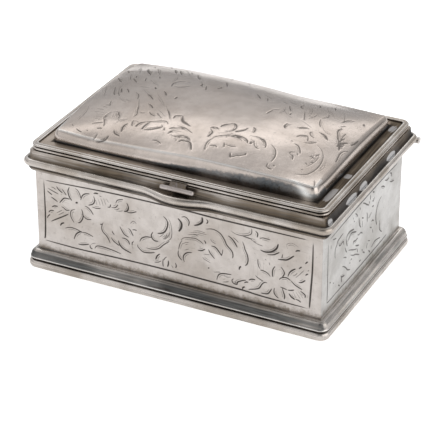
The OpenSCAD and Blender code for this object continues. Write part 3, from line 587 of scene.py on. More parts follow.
short_panel = [
    # border line
    (0.5, -18.3, 20.5, -18.1, 15, -18, 8, -18.1, 6.6),
    (0.45, -17.6, 20.8, -12, 21, -5, 21.3, 0, 21.35, 10, 21.4, 19, 21.2),
    (0.48, -18.2, 6.6, -17.4, 6.2, -11.5, 6.15, -5, 5.95, 2, 5.95, 10, 6, 14, 6.2),
    # leaves rolling to the right
    (0.4, -16.1, 20, -14.1, 19.4), (0.3, -16.8, 19.2, -16.7, 18.2),
    (0.5, -14.4, 14.8, -14.6, 15.8, -14.5, 17.1, -13.9, 17.6, -13.4, 18.3, -12.5, 18.5, -10.5, 18.8),
    (0.44, -12.8, 17.8, -12.5, 16.9, -11.8, 16.6, -10.5, 16.8, -10.1, 15.8),
    (0.56, -8.9, 16.6, -8.4, 17.2, -7.4, 17.4, -6.2, 17.2, -4.8, 16.8),
    (0.5, -8.2, 15.5, -7.6, 15.9, -6.8, 16.4, -5.9, 16.5, -4.8, 16.1, -3.4, 15.5),
    (0.5, -9.1, 16.8, -8.6, 15.4, -8.2, 14.5), (0.4, -9.4, 14.8, -8.9, 13.8, -8.4, 13.2),
    (0.34, -10.2, 12.8, -9.2, 12.4, -8.4, 11.9), (0.42, -10.6, 10.9, -9.6, 10.4, -8.5, 9.5, -7.6, 8.6, -6.1, 7.9),
    (0.5, -11.2, 9.1, -10.6, 8.5, -9.1, 8.1), (0.5, -10.9, 8.8, -10.6, 7.2), (0.44, -12.5, 7.6, -11.6, 6.9),
    (0.44, -16.9, 10.5, -16.4, 10.2), (0.34, -15.2, 9.5, -14.8, 9.2),
    (0.48, -5.1, 13.1, -4.9, 13.9, -3.9, 13.6, -2.5, 13.6), (0.4, -2.8, 14.5, -2.1, 14.1, -1.1, 14.1, 0.1, 13.4),
    (0.46, -3.8, 12.4, -2.8, 11.9, -1.8, 11.5), (0.4, -2.6, 11.1, -2.5, 10.1),
    (0.36, -7.6, 13.2, -6.2, 12.6, -4.8, 11.9, -2.8, 11.1), (0.4, -6.4, 11.5, -4.8, 10.6, -3.4, 10.1, -1.2, 8.9),
    (0.4, -6.2, 10.2, -5.4, 10.1), (0.3, -6.8, 9.8, -6.2, 9.5), (0.5, -1.5, 7.4, -0.5, 7.2),
    # the rise of leaves in the middle
    (0.44, -4.6, 20.4, -3.6, 19.6, -3.1, 18.9), (0.3, -5.5, 19.9, -5.4, 19.4), (0.3, -5.1, 18.9, -4.6, 18.4),
    (0.5, -2.4, 18.4, -2.2, 17.2, -1.8, 16.2, -1.1, 15.4), (0.4, -2.1, 20.6, -1.8, 19.9),
    (0.44, -0.8, 17.5, 0.2, 16.9), (0.3, -0.5, 16.8, -0.2, 14.9), (0.44, -0.7, 20.9, 0.6, 20.2, 1.7, 19.4, 3, 18.6),
    (0.5, 3.4, 20.9, 3.6, 19.6), (0.5, 4.7, 20.9, 5.7, 20.4), (0.4, 3.1, 19.5, 3.2, 18.9),
    (0.44, 4.7, 18.8, 5.4, 18.5, 5.9, 19.2), (0.5, 4.7, 17.4, 5.6, 17.2), (0.44, 1.9, 17.4, 2.3, 16.5, 2.4, 14.8),
    (0.3, 2.7, 15.6, 3.6, 15.6, 4.7, 16.2),
    # scroll at the blank end
    (0.5, 10, 17.4, 8.7, 16.9, 7.9, 16.2, 7.3, 15.2, 7.1, 13.9, 7.4, 12.5, 7.9, 11.4),
    (0.44, 9.4, 11.9, 9.4, 10.8, 9.6, 9.6, 10.3, 8.8, 11.1, 8.2), (0.44, 4.7, 13.8, 5.3, 13.9, 6, 13.4),
    (0.4, 3.9, 12.9, 5, 12.2), (0.3, 5.3, 11.9, 5.9, 10.5), (0.3, 3, 10.1, 4.4, 9.4), (0.4, 2.4, 8.4, 2.9, 9.6),
    (0.44, 0.3, 8.8, 1.6, 7.9), (0.4, -0.1, 9.6, 0.3, 9.1), (0.44, 5, 7.4, 5.9, 7.6, 7, 7.9, 8.4, 7.7, 10.3, 7.2),
    (0.44, 3.6, 7.5, 4.7, 6.4), (0.46, 9.3, 19.8, 10.4, 19.5, 11.6, 18.8), (0.46, 11.4, 20.5, 12.7, 19.9, 14, 19.9),
    (0.46, 14.1, 20.9, 15.1, 20.4, 15.4, 19.5), (0.46, 14.3, 18.8, 15.6, 18.2, 16.9, 17.9),
]


def sheet_of_wall(name, half, other_half, turn, cuts, spacing, material):
    """A wall sheet standing on its side of the case. Its outside is a close grid, pressed in where the graver
    went; its top, inside and bottom follow in single steps, and its two ends are mitred."""
    columns = int(2 * half / spacing)
    x = np.linspace(-half, half, columns)
    fine = np.arange(border_low - 0.6, border_high + 0.6, spacing / mm) * mm
    z = np.concatenate([[wall_low, 4.0 * mm, 4.5 * mm, 5.0 * mm], fine, [wall_top]])
    inside = cut_depth(cuts, x, z)
    dents = waver(x, len(name), dent_depth)[:, None] * np.sin(np.pi * np.clip((z - dent_low) / dent_span, 0, 1))
    y_out = -other_half + np.maximum(inside, 0) * graver_slope + dents
    outer = turned(x[:, None], y_out, z, turn)
    mitred = (half - wall_t) / half * x[:, None]
    inner = turned(mitred, wall_t - other_half, np.array([wall_top, wall_low]), turn)
    plain = np.zeros((len(x), 2))
    cut = np.concatenate([np.clip(0.5 + inside / (2 * cut_blur), 0, 1), plain], 1)
    # painted shade, grey, where the wall meets the rim above and the foot below
    edge = np.maximum(1 - (rim_starts - z) / rim_shade_reach, 1 - (z - foot_h) / foot_shade_reach)
    dark = np.concatenate([np.clip(edge, 0, 1) * 0.62 + 0 * x[:, None], plain], 1)
    surface(name, np.concatenate([outer, inner], 1), material, "case", "silver_engraved", cut=cut, dark=dark)


wall_silver = silver("wall_silver", (0.70, 0.65, 0.615), (0.54, 0.485, 0.44), rough=0.30, blotch=0.9, scratch=1.1,
                     grime=1.7, ink=0.95)
# the end walls: a lighter, cooler copy of the wall silver with greyer cuts, painted light for the brighter
# reflections on them
end_silver_lit = silver("end_silver_lit", (0.72, 0.705, 0.69), (0.52, 0.50, 0.475), rough=0.32, blotch=0.9, scratch=1.1,
                    grime=1.7, ink=0.75)
long_cuts = shaded([stroke(0.86 * width, *places) for width, *places in long_panel])
short_cuts = shaded([stroke(0.80 * width, *places) for width, *places in short_panel])
long_spacing, short_spacing = 0.118 * mm, 0.105 * mm
sheet_of_wall("front_wall", half_w, half_d, 0, long_cuts, long_spacing, wall_silver)
sheet_of_wall("back_wall", half_w, half_d, np.pi, mirrored(long_cuts), long_spacing, wall_silver)
sheet_of_wall("right_wall", half_d, half_w, np.pi / 2, short_cuts, short_spacing, end_silver_lit)
sheet_of_wall("left_wall", half_d, half_w, -np.pi / 2, mirrored(short_cuts), short_spacing, end_silver_lit)


# Rim: a moulding of ovolo, roll and hollow round the top of the walls, mitred like the foot. At the back it
# stands further out, to carry the hinge, and in the middle of the front it swells into a thumb rest.
rim_low, rim_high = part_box("rim_right")
rim_h = rim_high.z - rim_low.z
rim_out = rim_high.x - half_w
back_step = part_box("rim_back")[1].y - half_d - rim_out
rim_z = wall_top - rim_h
rim_land, ovolo_out, ovolo_h, rim_roll = 0.95 * mm, 1.5 * mm, 1.64 * mm, 0.78 * mm
roll_x = rim_out - rim_roll
roll_z = rim_z + ovolo_h + 0.05 * mm + rim_roll
# its section in three parts: what stays at the wall, what bows out at the lip, and what stays again. The third
# column gives painted shade under the rim, on the ovolo and under the roll, and tarnish in the hollow
under = np.array([[sunk, rim_z, 0.7], [0.02 * mm, rim_z, 1.4]])
lower = np.concatenate([
    *[arc(0.04 * mm, rim_z + ovolo_h, ovolo_out - 0.04 * mm, ovolo_h, *part) for part in
      ((-88, -50, 5, 1.25, 1.20), (-44, -28, 3, 0.60, 0.60), (-19, -4, 3, 1.45, 1.60))],
    *[arc(roll_x, roll_z, rim_roll, rim_roll, *part) for part in ((-80, -62, 2, 1.5, 1.1), (-52, 90, 13, 0.20, 0.0))],
    [[roll_x - 0.02 * mm, roll_z + rim_roll, 0.0]]])
hollow = np.concatenate([
    [[roll_x - 0.03 * mm, roll_z + rim_roll, 0.05]],
    arc(roll_x - 0.04 * mm, wall_top, roll_x - 0.04 * mm - rim_land, wall_top - roll_z - rim_roll, 270, 182, 9,
        1.10, 0.60),
    [[rim_land - 0.05 * mm, wall_top, 0.35], [sunk, wall_top, 0.5]]])
rim_section = np.concatenate([under, lower, hollow])
bowed = np.concatenate([np.zeros(len(under)), np.ones(len(lower)), np.zeros(len(hollow))])
lip_out = -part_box("rim_front")[0].y - half_d - rim_out
lip_x, lip_half = 1.2 * mm, 8.0 * mm


def lip(along):
    """How far the rim's rolls stand out past their place: a smooth swell round the thumb bar's middle."""
    near = np.clip(np.abs(along - lip_x) / lip_half, 0, 1)
    return lip_out * (1 - near**2) ** 2 * bowed


moulding_tarnish_and_shade = (0.060, 0.045, 0.032), (0.195, 0.155, 0.115)
moulding_silver = silver("moulding_silver", (0.68, 0.63, 0.59), (0.42, 0.36, 0.30), moulding_tarnish_and_shade, rough=0.20,
                         blotch=0.8, scratch=0.1, grime=1.4, drawn=True)
rim_bare = highlighted(rim_section, (roll_x + 0.10 * mm, roll_z + rim_roll))
rubbed = ((-17.4 * mm, 1.7 * mm), (-8.4 * mm, 2.3 * mm), (-3.4 * mm, 1.6 * mm), (8.2 * mm, 2.0 * mm))
hollow_middle = 1.2 * mm, 26.6 * mm
for order, side in enumerate(SIDES):
    moulding(f"rim_{side}", rim_section, side, back_step, 0, "case", moulding_silver, 10 + order, rim_bare,
             rubbed if side == "right" else (), hollow_middle, lip if side == "front" else None)
dress("hinge_packing", dull_silver)


# Stamp tray: one sheet bent to a shallow curve across the case, and two upright dividers that follow it, so
# that a stamp slides up the curve under a fingertip. Plain satin silver, brighter than the outside.
inside_silver = silver("inside_silver", (0.74, 0.69, 0.65), (0.58, 0.52, 0.46), rough=0.30, blotch=0.5, grime=1.6)
tray_low, tray_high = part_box("tray_floor")
tray_t = 0.5 * mm
half_tray = tray_high.y
sag = tray_high.z - tray_low.z - tray_t
tray_radius = (half_tray**2 + sag**2) / (2 * sag)


def tray_height(y):
    """Height of the tray floor's upper face: the low part of a circle across the case."""
    return tray_low.z + tray_t + tray_radius - np.sqrt(tray_radius**2 - y**2)


y = np.linspace(-half_tray, half_tray, 61)
x = np.linspace(tray_low.x, tray_high.x, 9)
lengthwise = np.concatenate([y, y[::-1]])
up = np.concatenate([tray_height(y), tray_height(y[::-1]) - tray_t])
tray_points = spanned(x[:, None], lengthwise, up)
# darker towards the walls at both ends of the curve
darker_at_walls = np.clip(np.abs(lengthwise) / half_tray * 6 - 5, 0, 0.6) + 0 * x[:, None]
surface("tray_floor", tray_points, inside_silver, "case", "silver_inside", dark=darker_at_walls)
dress("tray_dividers", inside_silver)


# Hinge: five tubes on one wire. Three tubes belong to the case and stand on webs under the back rim; two
# belong to the lid. Handling keeps their ends bright.
hinge_silver = silver("hinge_silver", (0.76, 0.73, 0.71), (0.55, 0.49, 0.44), rough=0.18, blotch=0.4)
for node in ("case_knuckles", "hinge_pin", "lid_knuckles"):
    dress(node, hinge_silver)


# Lid frame: a narrow moulding in four mitred lengths. A bead and a groove face outwards, and over them a
# round and a single reed fall to the dark channel that runs round the dome.
frame_low, frame_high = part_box("lid_frame_right")
frame_out = frame_high.x - half_w
frame_h = frame_high.z - frame_low.z
frame_z = frame_low.z
frame_in = frame_out - 1.4 * mm
frame_corner = 1.3 * mm
bead, reed, groove = 0.27 * mm, 0.24 * mm, 0.42 * mm
frame_section = np.concatenate([
    [[frame_in, frame_z, 0.4], [frame_out - 0.4 * mm, frame_z, 0.4]],
    arc(frame_out - bead - 0.05 * mm, frame_z + bead, bead, bead, -80, 80, 9, 0.35, 0.15),
    [[frame_out - bead - 0.20 * mm, frame_z + 2 * bead + 0.03 * mm, 1.5],
     [frame_out - bead - 0.20 * mm, frame_z + 2 * bead + groove - 0.05 * mm, 1.5]],
    arc(frame_out - 0.45 * mm, frame_z + 2 * bead + groove, 0.45 * mm, frame_h - 2 * bead - groove, 0, 84,
        11, 0.10, 0.0),
    [[frame_out - 0.60 * mm, frame_z + frame_h - 0.05 * mm, 0.15],
     [frame_out - 0.76 * mm, frame_z + frame_h - 0.07 * mm, 0.20]],
    arc(frame_in + 0.06 * mm + reed, frame_z + frame_h - 0.07 * mm, reed, 0.07 * mm, 0, 180, 10, 0.20, 0.40),
    [[frame_in, frame_z + frame_h - 0.15 * mm, 1.0]]])
frame_top = frame_z + frame_h
frame_bare = highlighted(frame_section, (frame_out - 0.22 * mm, frame_top - 0.12 * mm),
                      (frame_in + 0.06 * mm + reed, frame_top))
for order, side in enumerate(SIDES):
    moulding(f"lid_frame_{side}", frame_section, side, back_step, frame_corner, "lid", moulding_silver,
             20 + order, frame_bare)


# Lid plate: the flat ring between frame and dome. Polish hardly reached it, so it is brown and streaked, with
# a few lighter places where it has been rubbed through on the right.
channel_silver = silver("channel_silver", (0.60, 0.52, 0.45), (0.38, 0.31, 0.25), rough=0.40, blotch=0.9,
                        grime=1.6, drawn=True)
plate_low, plate_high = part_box("lid_plate")
dome_low, dome_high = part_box("lid_dome")
dome_inset = half_w - dome_high.x
hole = -(dome_inset + 1.1 * mm)
bed = plate_high.z
plate_section = np.concatenate([
    [[hole, bed, 1.3], [-dome_inset - 0.02 * mm, bed, 1.3], [-dome_inset + 0.14 * mm, bed, 0.45]],
    [[share * (frame_in + dome_inset) - dome_inset, bed, 0.12] for share in (0.25, 0.5, 0.75)],
    [[frame_in - 0.16 * mm, bed, 0.35], [frame_in, bed, 1.3], [frame_in, plate_low.z, 0.8],
     [hole, plate_low.z, 0.5]]])
plate_points = np.concatenate([
    run_of(plate_section, *side_of(side, back_step, frame_corner), frame_corner, corner_steps=6)[:-1]
    for side in SIDES])
plate_x, plate_y = plate_points[..., 0], plate_points[..., 1]
end_strip = half_w - 3 * mm
on_right = plate_x > end_strip
rubbed = sum(np.exp(-((plate_y - middle * mm) / (reach * mm)) ** 2) for middle, reach in
             ((-14.2, 3.2), (-5.4, 1.1), (18.6, 1.5))) * on_right * (plate_section[:, 2] < 0.3)
shade = plate_section[:, 2] + 0.75 * on_right
lengthwise = np.where(np.abs(plate_x) > end_strip, plate_y, plate_x)
surface("lid_plate", plate_points, channel_silver, "lid", "silver_tarnished", ring=True, dark=shade, worn=rubbed,
        lay=spanned(lengthwise, plate_section[:, 0], 0))
dress("lid_bezel", inside_silver)


# Dome: the lid's raised panel, one sheet with a rolled edge and a cushion-like crown, engraved with flowers and
# scrolls round a bare middle. It is soldered down on the plate and hollow below.
dome_a, dome_b = dome_high.x, (dome_high.y - dome_low.y) / 2
dome_middle = (dome_high.y + dome_low.y) / 2
dome_base = dome_low.z
dome_corner, edge_w, edge_h, crown = 1.7 * mm, 1.2 * mm, 2.85 * mm, 4.1 * mm
sheet_t = 0.7 * mm


def spread(half, count):
    """Grid lines from -half to half, close together over the rolled edge and even between."""
    quarter = edge_w * (1 - np.cos(np.linspace(0, np.pi / 2, 12)))[:-1]
    even = np.linspace(-half + edge_w, half - edge_w, count - 2 * len(quarter))
    return np.concatenate([-half + quarter, even, half - quarter[::-1]])


def rounded(x, y, a, b, radius):
    """Moves the points of a rectangle so that its corners become round: in each corner square, both
    coordinates go from a square to a quarter disc. Also gives each point's distance from the edge."""
    p, q = np.clip((np.abs(x) - a + radius) / radius, 0, 1), np.clip((np.abs(y) - b + radius) / radius, 0, 1)
    u, v = p * np.sqrt(1 - q * q / 2), q * np.sqrt(1 - p * p / 2)
    in_corner = (p > 0) & (q > 0)
    new_x = np.where(in_corner, np.sign(x) * (a - radius + u * radius), x)
    new_y = np.where(in_corner, np.sign(y) * (b - radius + v * radius), y)
    edge = np.where(in_corner, radius * (1 - np.hypot(u, v)), np.minimum(a - np.abs(x), b - np.abs(y)))
    return new_x, new_y, np.maximum(edge, 0)


def dome_rise(x, y, edge, a, b, height, width):
    """A quarter ellipse over the edge plus a crown that falls off with the third power of x and 2.5 of y."""
    lift = height * np.sqrt(1 - (1 - np.clip(edge / width, 0, 1)) ** 2)
    return lift + crown * (1 - np.clip(np.abs(x) / a, 0, 1) ** 3) * (1 - np.clip(np.abs(y) / b, 0, 1) ** 2.5)


def settled(x, y, edge):
    """How this dome departs from a true one, in metres: its front edge has sunk left of the middle, its left end
    stands a little proud and its back edge falls from left to right."""
    def eased(knots, values):
        """Straight lines through the knots, averaged over 9 mm so that no crease is left at them."""
        return np.mean([np.interp(x / mm + d, knots, values) for d in np.linspace(-4.5, 4.5, 10)], axis=0)

    front = eased((-30, -27, -24, -15, -6, 2), (0, 0.2, 1.0, 0.85, 0.5, 0))
    front = front * np.clip((-y - 13.0 * mm) / (5 * mm), 0, 1) ** 1.5
    left = 0.8 * np.clip((-12 * mm - x) / (16 * mm), 0, 1) * np.clip((y + 14 * mm) / (8 * mm), 0, 1)
    left = left * np.clip((20 * mm - y) / (9 * mm), 0, 1)
    back = eased((-30, -24, -14, -6, 2, 9, 16, 30), (-0.4, 0, 0.4, 0.2, 0.1, -0.6, -0.45, -0.4))
    back = back * np.clip(y / (16 * mm), 0, 1) ** 1.5
    return (left + back - front) * mm * np.sqrt(1 - (1 - np.clip(edge / edge_w, 0, 1)) ** 2)


dome_panel = [
    # line along the right roll
    (0.3, 29.85, 17, 29.8, 1, 29.9, -13, 29.7, -17.4),
    # front left: leaf sprays
    (0.36, -26, 0.9, -25, -1.5, -24.3, -3, -23.6, -3.8), (0.44, -24, -0.2, -23.4, -1.2, -22.8, -2.2),
    (0.4, -22.6, -0.2, -21.8, -1.2, -21.1, -2.2), (0.36, -19.8, -1.7, -18.6, -2.6, -18, -3.6, -17.7, -4.8),
    (0.5, -16.8, -2.1, -15.6, -2.7, -14.4, -3.9), (0.5, -14.2, 0.7, -13.2, -0.3, -12.7, -1.2),
    (0.7, -10.2, -0.8, -10.2, -2), (0.45, -14.6, -5.8, -13.6, -6.3, -12.6, -7.3),
    (0.36, -9.8, -6.4, -8.8, -7.6, -8, -8.6), (0.4, -12.8, -8.6, -12, -9.4, -10.8, -9.8),
    (0.3, -14.8, -9.2, -14.2, -9.5, -13.4, -9.3), (0.36, -16, -7.6, -15.4, -9, -14.9, -10.2, -15.2, -11.2),
    (0.28, -11, -8.4, -9.8, -9.6, -9.2, -10), (0.34, -23, -6.4, -22.7, -7.6, -22.2, -8.4),
    (0.34, -23.6, -8.2, -22.2, -8.3), (0.26, -23.8, -8.8, -22.4, -9.2),
    # front left: flower
    (0.3, -20.6, -10.5, -21.2, -11.4, -21.3, -12.8), (0.34, -19, -10.2, -18.7, -11, -18, -11.8),
    (0.26, -18.2, -11.8, -17.8, -13), (0.14, -20, -10.8, -19.6, -12.6), (0.14, -19.5, -10.7, -19.1, -12.8),
    (0.14, -19, -11, -18.6, -12.8), (0.34, -23.2, -14.8, -22.2, -14.4, -20.8, -14), (0.26, -21, -13, -20.1, -15),
    (0.18, -23.8, -11.8, -21.6, -11.8), (0.18, -23.8, -13, -21.8, -13.4), (0.34, -21.4, -15.8, -20.2, -15.6),
    (0.4, -25.8, -16.8, -25, -17.2, -24, -17.5), (0.24, -23.4, -16.6, -22.8, -16.9),
    (0.3, -27.6, -15.6, -26.8, -16.2), (0.3, -20.5, -17, -20.7, -18.6),
    (0.34, -18, -17, -18.2, -18.2, -19.6, -18.7), (0.42, -17.4, -15.6, -16.8, -16.3, -15.4, -16.7),
    (0.46, -15.2, -13.4, -15.8, -14.4, -15.6, -15.8), (0.36, -14.6, -12.2, -14.4, -13.2, -14, -14),
    (0.44, -11.8, -12.1, -12.8, -12.8, -13.2, -14), (0.44, -10.8, -11.8, -11.3, -13, -11.6, -14.4),
    # front middle: two scrolls that meet
    (0.36, -12, -12.1, -10.2, -11.5, -8.6, -10.9, -7.6, -10.8, -6.9, -11.5),
    (0.36, -11, -14.3, -9.4, -13.8, -7.8, -12.8), (0.36, -7.1, -12.6, -6.7, -13.6),
    (0.36, -8.1, -16.3, -7, -16.2, -5.7, -16.7), (0.32, -6.7, -9.4, -6.6, -8.3, -5.8, -8),
    (0.44, -5.2, -8.2, -4.8, -9.2, -4.2, -9.9, -2.2, -10.7), (0.4, -6, -12.8, -5.4, -12.3, -4.4, -12.1),
    (0.36, -5, -11.4, -3, -11.5, -1, -12.4), (0.4, -5.5, -13.9, -5, -13.2),
    (0.3, -4.6, -14.4, -3, -14.2, -2, -13.8, -0.2, -14.6), (0.3, -3.2, -15, -3, -15.3),
    (0.42, -2.4, -15.6, -1.8, -15, -0.2, -15), (0.56, -0.9, -14.8, 0.2, -15.2, 1.2, -16.8),
    (0.3, 3.8, -9.7, 3, -9.3, 2.2, -9.9), (0.48, 2.2, -10.1, 3, -10.8, 3.1, -11.6, 2.8, -12.7),
    (0.5, 5.3, -7.1, 4.4, -7.8, 3.9, -8.8), (0.38, 5.8, -6.7, 6.7, -7.2, 7.1, -8.2, 6.7, -9),
    (0.52, 9.3, -6.9, 9, -8, 8.2, -8.8, 7.4, -9.3), (0.36, 10.1, -6.3, 10.9, -6.9, 11, -7.8),
    (0.4, 7.2, -11.1, 8.2, -10.5, 9.8, -10.4, 11, -10.9, 11.4, -11.7), (0.26, 7.4, -11, 9, -11, 10.2, -11.5),
    (0.36, 12.1, -11, 12, -11.7), (0.34, 12.6, -10.9, 13.2, -12, 14.4, -12.5),
    (0.42, 13, -9.4, 14.2, -9.7, 15, -10.5, 15.4, -11.7),
    (0.42, 16, -10.2, 17.2, -11, 17.9, -12, 18.3, -13.4, 18.2, -15),
    (0.44, 17.8, -15.4, 17.9, -16.3, 18.6, -16.7, 19.2, -16.7), (0.5, 19.1, -15.6, 19.3, -15.8),
    (0.36, 7, -13.2, 7.4, -14.4), (0.3, 7.4, -13.5, 8.6, -13.7, 9.8, -13.5), (0.5, 9.4, -15.4, 9.8, -16.4),
    (0.4, 10.1, -16.3, 11, -15.6, 12, -15.3), (0.4, 12.4, -14.5, 12.5, -15.1),
    (0.32, 3.8, -13, 3.5, -14.6, 3.9, -16.2), (0.36, 4.4, -14.8, 5.4, -14.5, 6.1, -14.8),
    (0.22, 3.8, -12.8, 5.4, -11.4, 7.2, -11),
    # front right: round scroll and leaf
    (0.44, 15.5, -1.2, 15.5, -2.4, 16, -3.4), (0.3, 18.2, -1.7, 19, -1, 20.2, -0.3),
    (0.36, 21.2, -1, 20.9, -1.7, 21.4, -2.6, 22.4, -3), (0.36, 22.6, -0.4, 23.8, -0.7, 24.8, -1.8),
    (0.36, 19.3, -5, 19.8, -4, 21, -3.3), (0.34, 21.3, -3.6, 21.8, -5), (0.36, 21.4, -6, 22.6, -5.2, 23.4, -4),
    (0.36, 19.1, -6.9, 19.3, -7.1), (0.46, 19.9, -7.5, 21, -7.8, 21.8, -8.8, 22.4, -10),
    (0.36, 21.8, -10, 22.2, -10.8), (0.36, 21.4, -10.1, 20.5, -10.5, 20.5, -11.1),
    (0.44, 20.6, -11.2, 21.4, -11.4, 21.8, -12.6),
    (0.34, 23.8, -4.8, 25.4, -6, 26.5, -7.8, 27, -9.8, 27.1, -12, 26.7, -14.2, 25.8, -15.6, 24.2, -16.2),
    (0.4, 25.6, -7.6, 25.2, -8.8), (0.34, 24.2, -9.8, 24.8, -9.4, 25.4, -9.8), (0.3, 25.2, -11.4, 25.9, -10.8),
    (0.36, 24.4, -11.9, 25, -12.4), (0.34, 24.6, -14.5, 25, -14.3), (0.36, 25.8, 0.8, 26.8, -0.6, 27.2, -2.6),
    (0.36, 28, 0.6, 27.6, -0.4, 27.6, -1.6, 28, -3),
    (0.44, 29.5, -1.6, 28.8, -2.8, 28.6, -4.2, 29, -6.6, 29.1, -7.6), (0.34, 28.4, -16.4, 29.2, -18.2),
    # back left
    (0.5, -18.6, 14.7, -17.8, 12.9, -16.6, 11.1), (0.4, -17.2, 14.5, -16.4, 12.7, -15, 10.7),
    (0.34, -14.6, 14.5, -13.4, 12.5), (0.44, -12.4, 13.3, -11.4, 11.3, -10.2, 9.9), (0.34, -21, 17.5, -20.2, 15.7),
    (0.4, -24.2, 15.3, -23.4, 14.3), (0.56, -24.2, 12.5, -23.4, 10.7, -21.4, 8.3), (0.36, -28.6, 11.3, -27.4, 9.3),
    (0.36, -24.4, 7.3, -23.8, 6.1), (0.36, -21.4, 6.3, -20.6, 4.1), (0.4, -19, 7.9, -18.2, 6.5),
    (0.36, -28.4, 6.3, -27, 4.5, -25.8, 3.3), (0.4, -24.2, 5.5, -22, 3.1),
    (0.48, -11, 7.3, -13, 7.1, -14, 6.1, -14.2, 4.9, -13.8, 3.3), (0.5, -13.4, 3.7, -11.8, 3.9, -10.2, 5.1),
    (0.6, -8.4, 7.7, -8.2, 6.1), (0.46, -7.2, 6.9, -6.2, 4.5), (0.46, -4.8, 11.9, -4, 10.3, -3.2, 8.9),
    (0.6, -4.2, 8.1, -4, 7.3, -4.4, 6.5), (0.6, -17, 1.9, -16.2, 0.9), (0.3, -20.6, 1.3, -18, 1.3),
    (0.3, -5.8, 17.3, -5.2, 14.9), (0.3, -1.2, 15.3, -0.2, 13.9),
    # back right
    (0.46, 3.8, 8.7, 5, 7.5, 5.8, 6.3), (0.36, 6.8, 7.9, 7.6, 6.1), (0.44, 10.2, 8.1, 11.8, 7.5),
    (0.44, 14.6, 9.7, 14.4, 8.1, 15.4, 6.9), (0.44, 12.4, 6.9, 13, 5.5, 13.8, 4.3), (0.46, 14.2, 3.5, 14.4, 2.5),
    (0.5, 10.5, 2.5, 10.1, 0.1), (0.34, 10.2, 2.7, 11.6, 3.7), (0.5, 17, 12.3, 17.8, 10.3),
    (0.46, 19.8, 13.9, 20.6, 12.1), (0.36, 20.4, 8.9, 21, 7.3, 20.2, 5.7), (0.36, 20.2, 5.3, 20.8, 3.3, 21.6, 1.9),
    (0.36, 16, 6.5, 17.2, 3.5, 17.8, 2.1), (0.46, 25.8, 10.5, 24.6, 9.3, 24, 7.3), (0.6, 27.6, 11.1, 27.9, 10.1),
    (0.4, 25.4, 5.1, 25, 3.3, 25.6, 1.7, 26.4, 0.1), (0.3, 26.7, 3.9, 26.5, 2.7),
    (0.36, 27.2, 1.9, 26.9, 0.5, 26.8, -0.7), (0.56, 29.4, 3.9, 29.3, 1.9, 29, 0.5), (0.44, 28.4, 0.9, 27.5, -0.3),
    (0.3, 25.4, 6.7, 24.6, 5.3),
    # fine lines that join them, front left
    (0.24, -28.5, 1.5, -27, -2, -26, -4.5), (0.22, -25, 1.2, -23.8, -1.8, -22.4, -4),
    (0.22, -23.7, -2.5, -22.3, -4.2), (0.2, -22.3, -4.5, -20.8, -5.8, -19.3, -6.6),
    (0.18, -20.3, -5.2, -18.5, -6.2), (0.24, -17.4, -4.4, -16.4, -6.5, -15.3, -8.6),
    (0.28, -20.9, -10.6, -21.5, -12.4, -21, -13.4, -20.6, -14, -20.1, -15.2),
    (0.28, -20.6, -10.6, -19.4, -10.3, -18.7, -11.2, -17.9, -11.9), (0.2, -18.4, -11.2, -18.3, -12.8),
    (0.2, -18, -13.6, -17.3, -12.6, -16, -12.2), (0.22, -14.7, -12.3, -13.2, -12.4),
    (0.2, -11.4, -7.2, -10.2, -8.2, -8.9, -9.2), (0.22, -10.6, -5.2, -9.4, -6.9, -8.2, -8.6, -7.5, -9.8),
    (0.18, -9, -6.9, -7.9, -8.6, -7, -10.2), (0.2, -11.2, -8.6, -10, -9.6),
    (0.34, -6.7, -9.6, -6.9, -8.6, -6.2, -8, -5.3, -8, -4.8, -8.9, -4.3, -9.6, -3, -10.2, -1.9, -10.8),
    (0.3, -11, -14.4, -9.6, -14, -8, -13.1, -7.7, -12.4, -8.2, -12),
    (0.3, -6, -12.9, -5.6, -12.4, -4.6, -12.1, -3, -11.6, -1.6, -12.1, -0.6, -12.6),
    (0.28, -5.5, -14.2, -5.3, -13.4, -4.6, -13, -3, -12.8),
    (0.26, -4.9, -14.2, -3.7, -14.4, -2.6, -13.9, -1, -13.9, 0, -14.7),
    (0.32, -20, -18.7, -18.9, -18.4, -18, -17.7, -17.9, -16.9), (0.2, -27.4, -8.4, -26.6, -11, -26.8, -14),
    (0.2, -25, -9.6, -22.6, -10.2), (0.18, -24.8, -10.8, -22.2, -11), (0.18, -23.6, -12.4, -21.8, -12.6),
    (0.2, -15, -1, -12.4, -3.6, -10.8, -5.6), (0.2, -19, 0.4, -17, -1.6, -14.6, -2.6),
    # fine lines, front right
    (0.3, 2, -9.9, 2.4, -9.4, 3.4, -9.3, 4, -9.8),
    (0.32, 3.8, -9, 4.1, -8, 5.2, -7.2, 5.8, -6.6, 6.6, -6.9, 7.1, -8, 6.9, -9, 6.2, -9.6, 5.2, -9.9),
    (0.3, 10.1, -6.2, 10.8, -6.6, 11.1, -7.8, 10.7, -8.1),
    (0.32, 3.9, -12.3, 5.6, -11.4, 7.2, -10.6, 8.8, -10.2, 10.2, -10.5, 11, -11.1, 11.4, -11.8),
    (0.18, 4.2, -10.9, 6.4, -10.2, 7.6, -10.1),
    (0.32, 10.6, -9.3, 11.8, -9.3, 12.8, -9.2, 14.2, -9.5, 15, -10.5, 15.4, -11.8),
    (0.26, 11.6, -10.4, 12.3, -10.8, 12.2, -11.6, 11.8, -11.8),
    (0.3, 12.4, -10.4, 12.9, -11.6, 13.6, -12.3, 14.2, -12.4),
    (0.34, 9.2, -15.4, 9.7, -16.4, 10.1, -16.2, 11, -15.6, 12, -15.2, 12.5, -14.8, 12.4, -14.3),
    (0.26, 4.3, -12.6, 3.6, -13.6, 3.5, -14.8, 4, -16.1), (0.32, 16.4, -1, 15.6, -1.6, 15.4, -2.6, 15.9, -3.4),
    (0.28, 17.8, -1.8, 18.6, -1, 19.8, -0.2), (0.26, 22, -0.3, 23.6, -0.3, 24.4, -1, 24.9, -1.8),
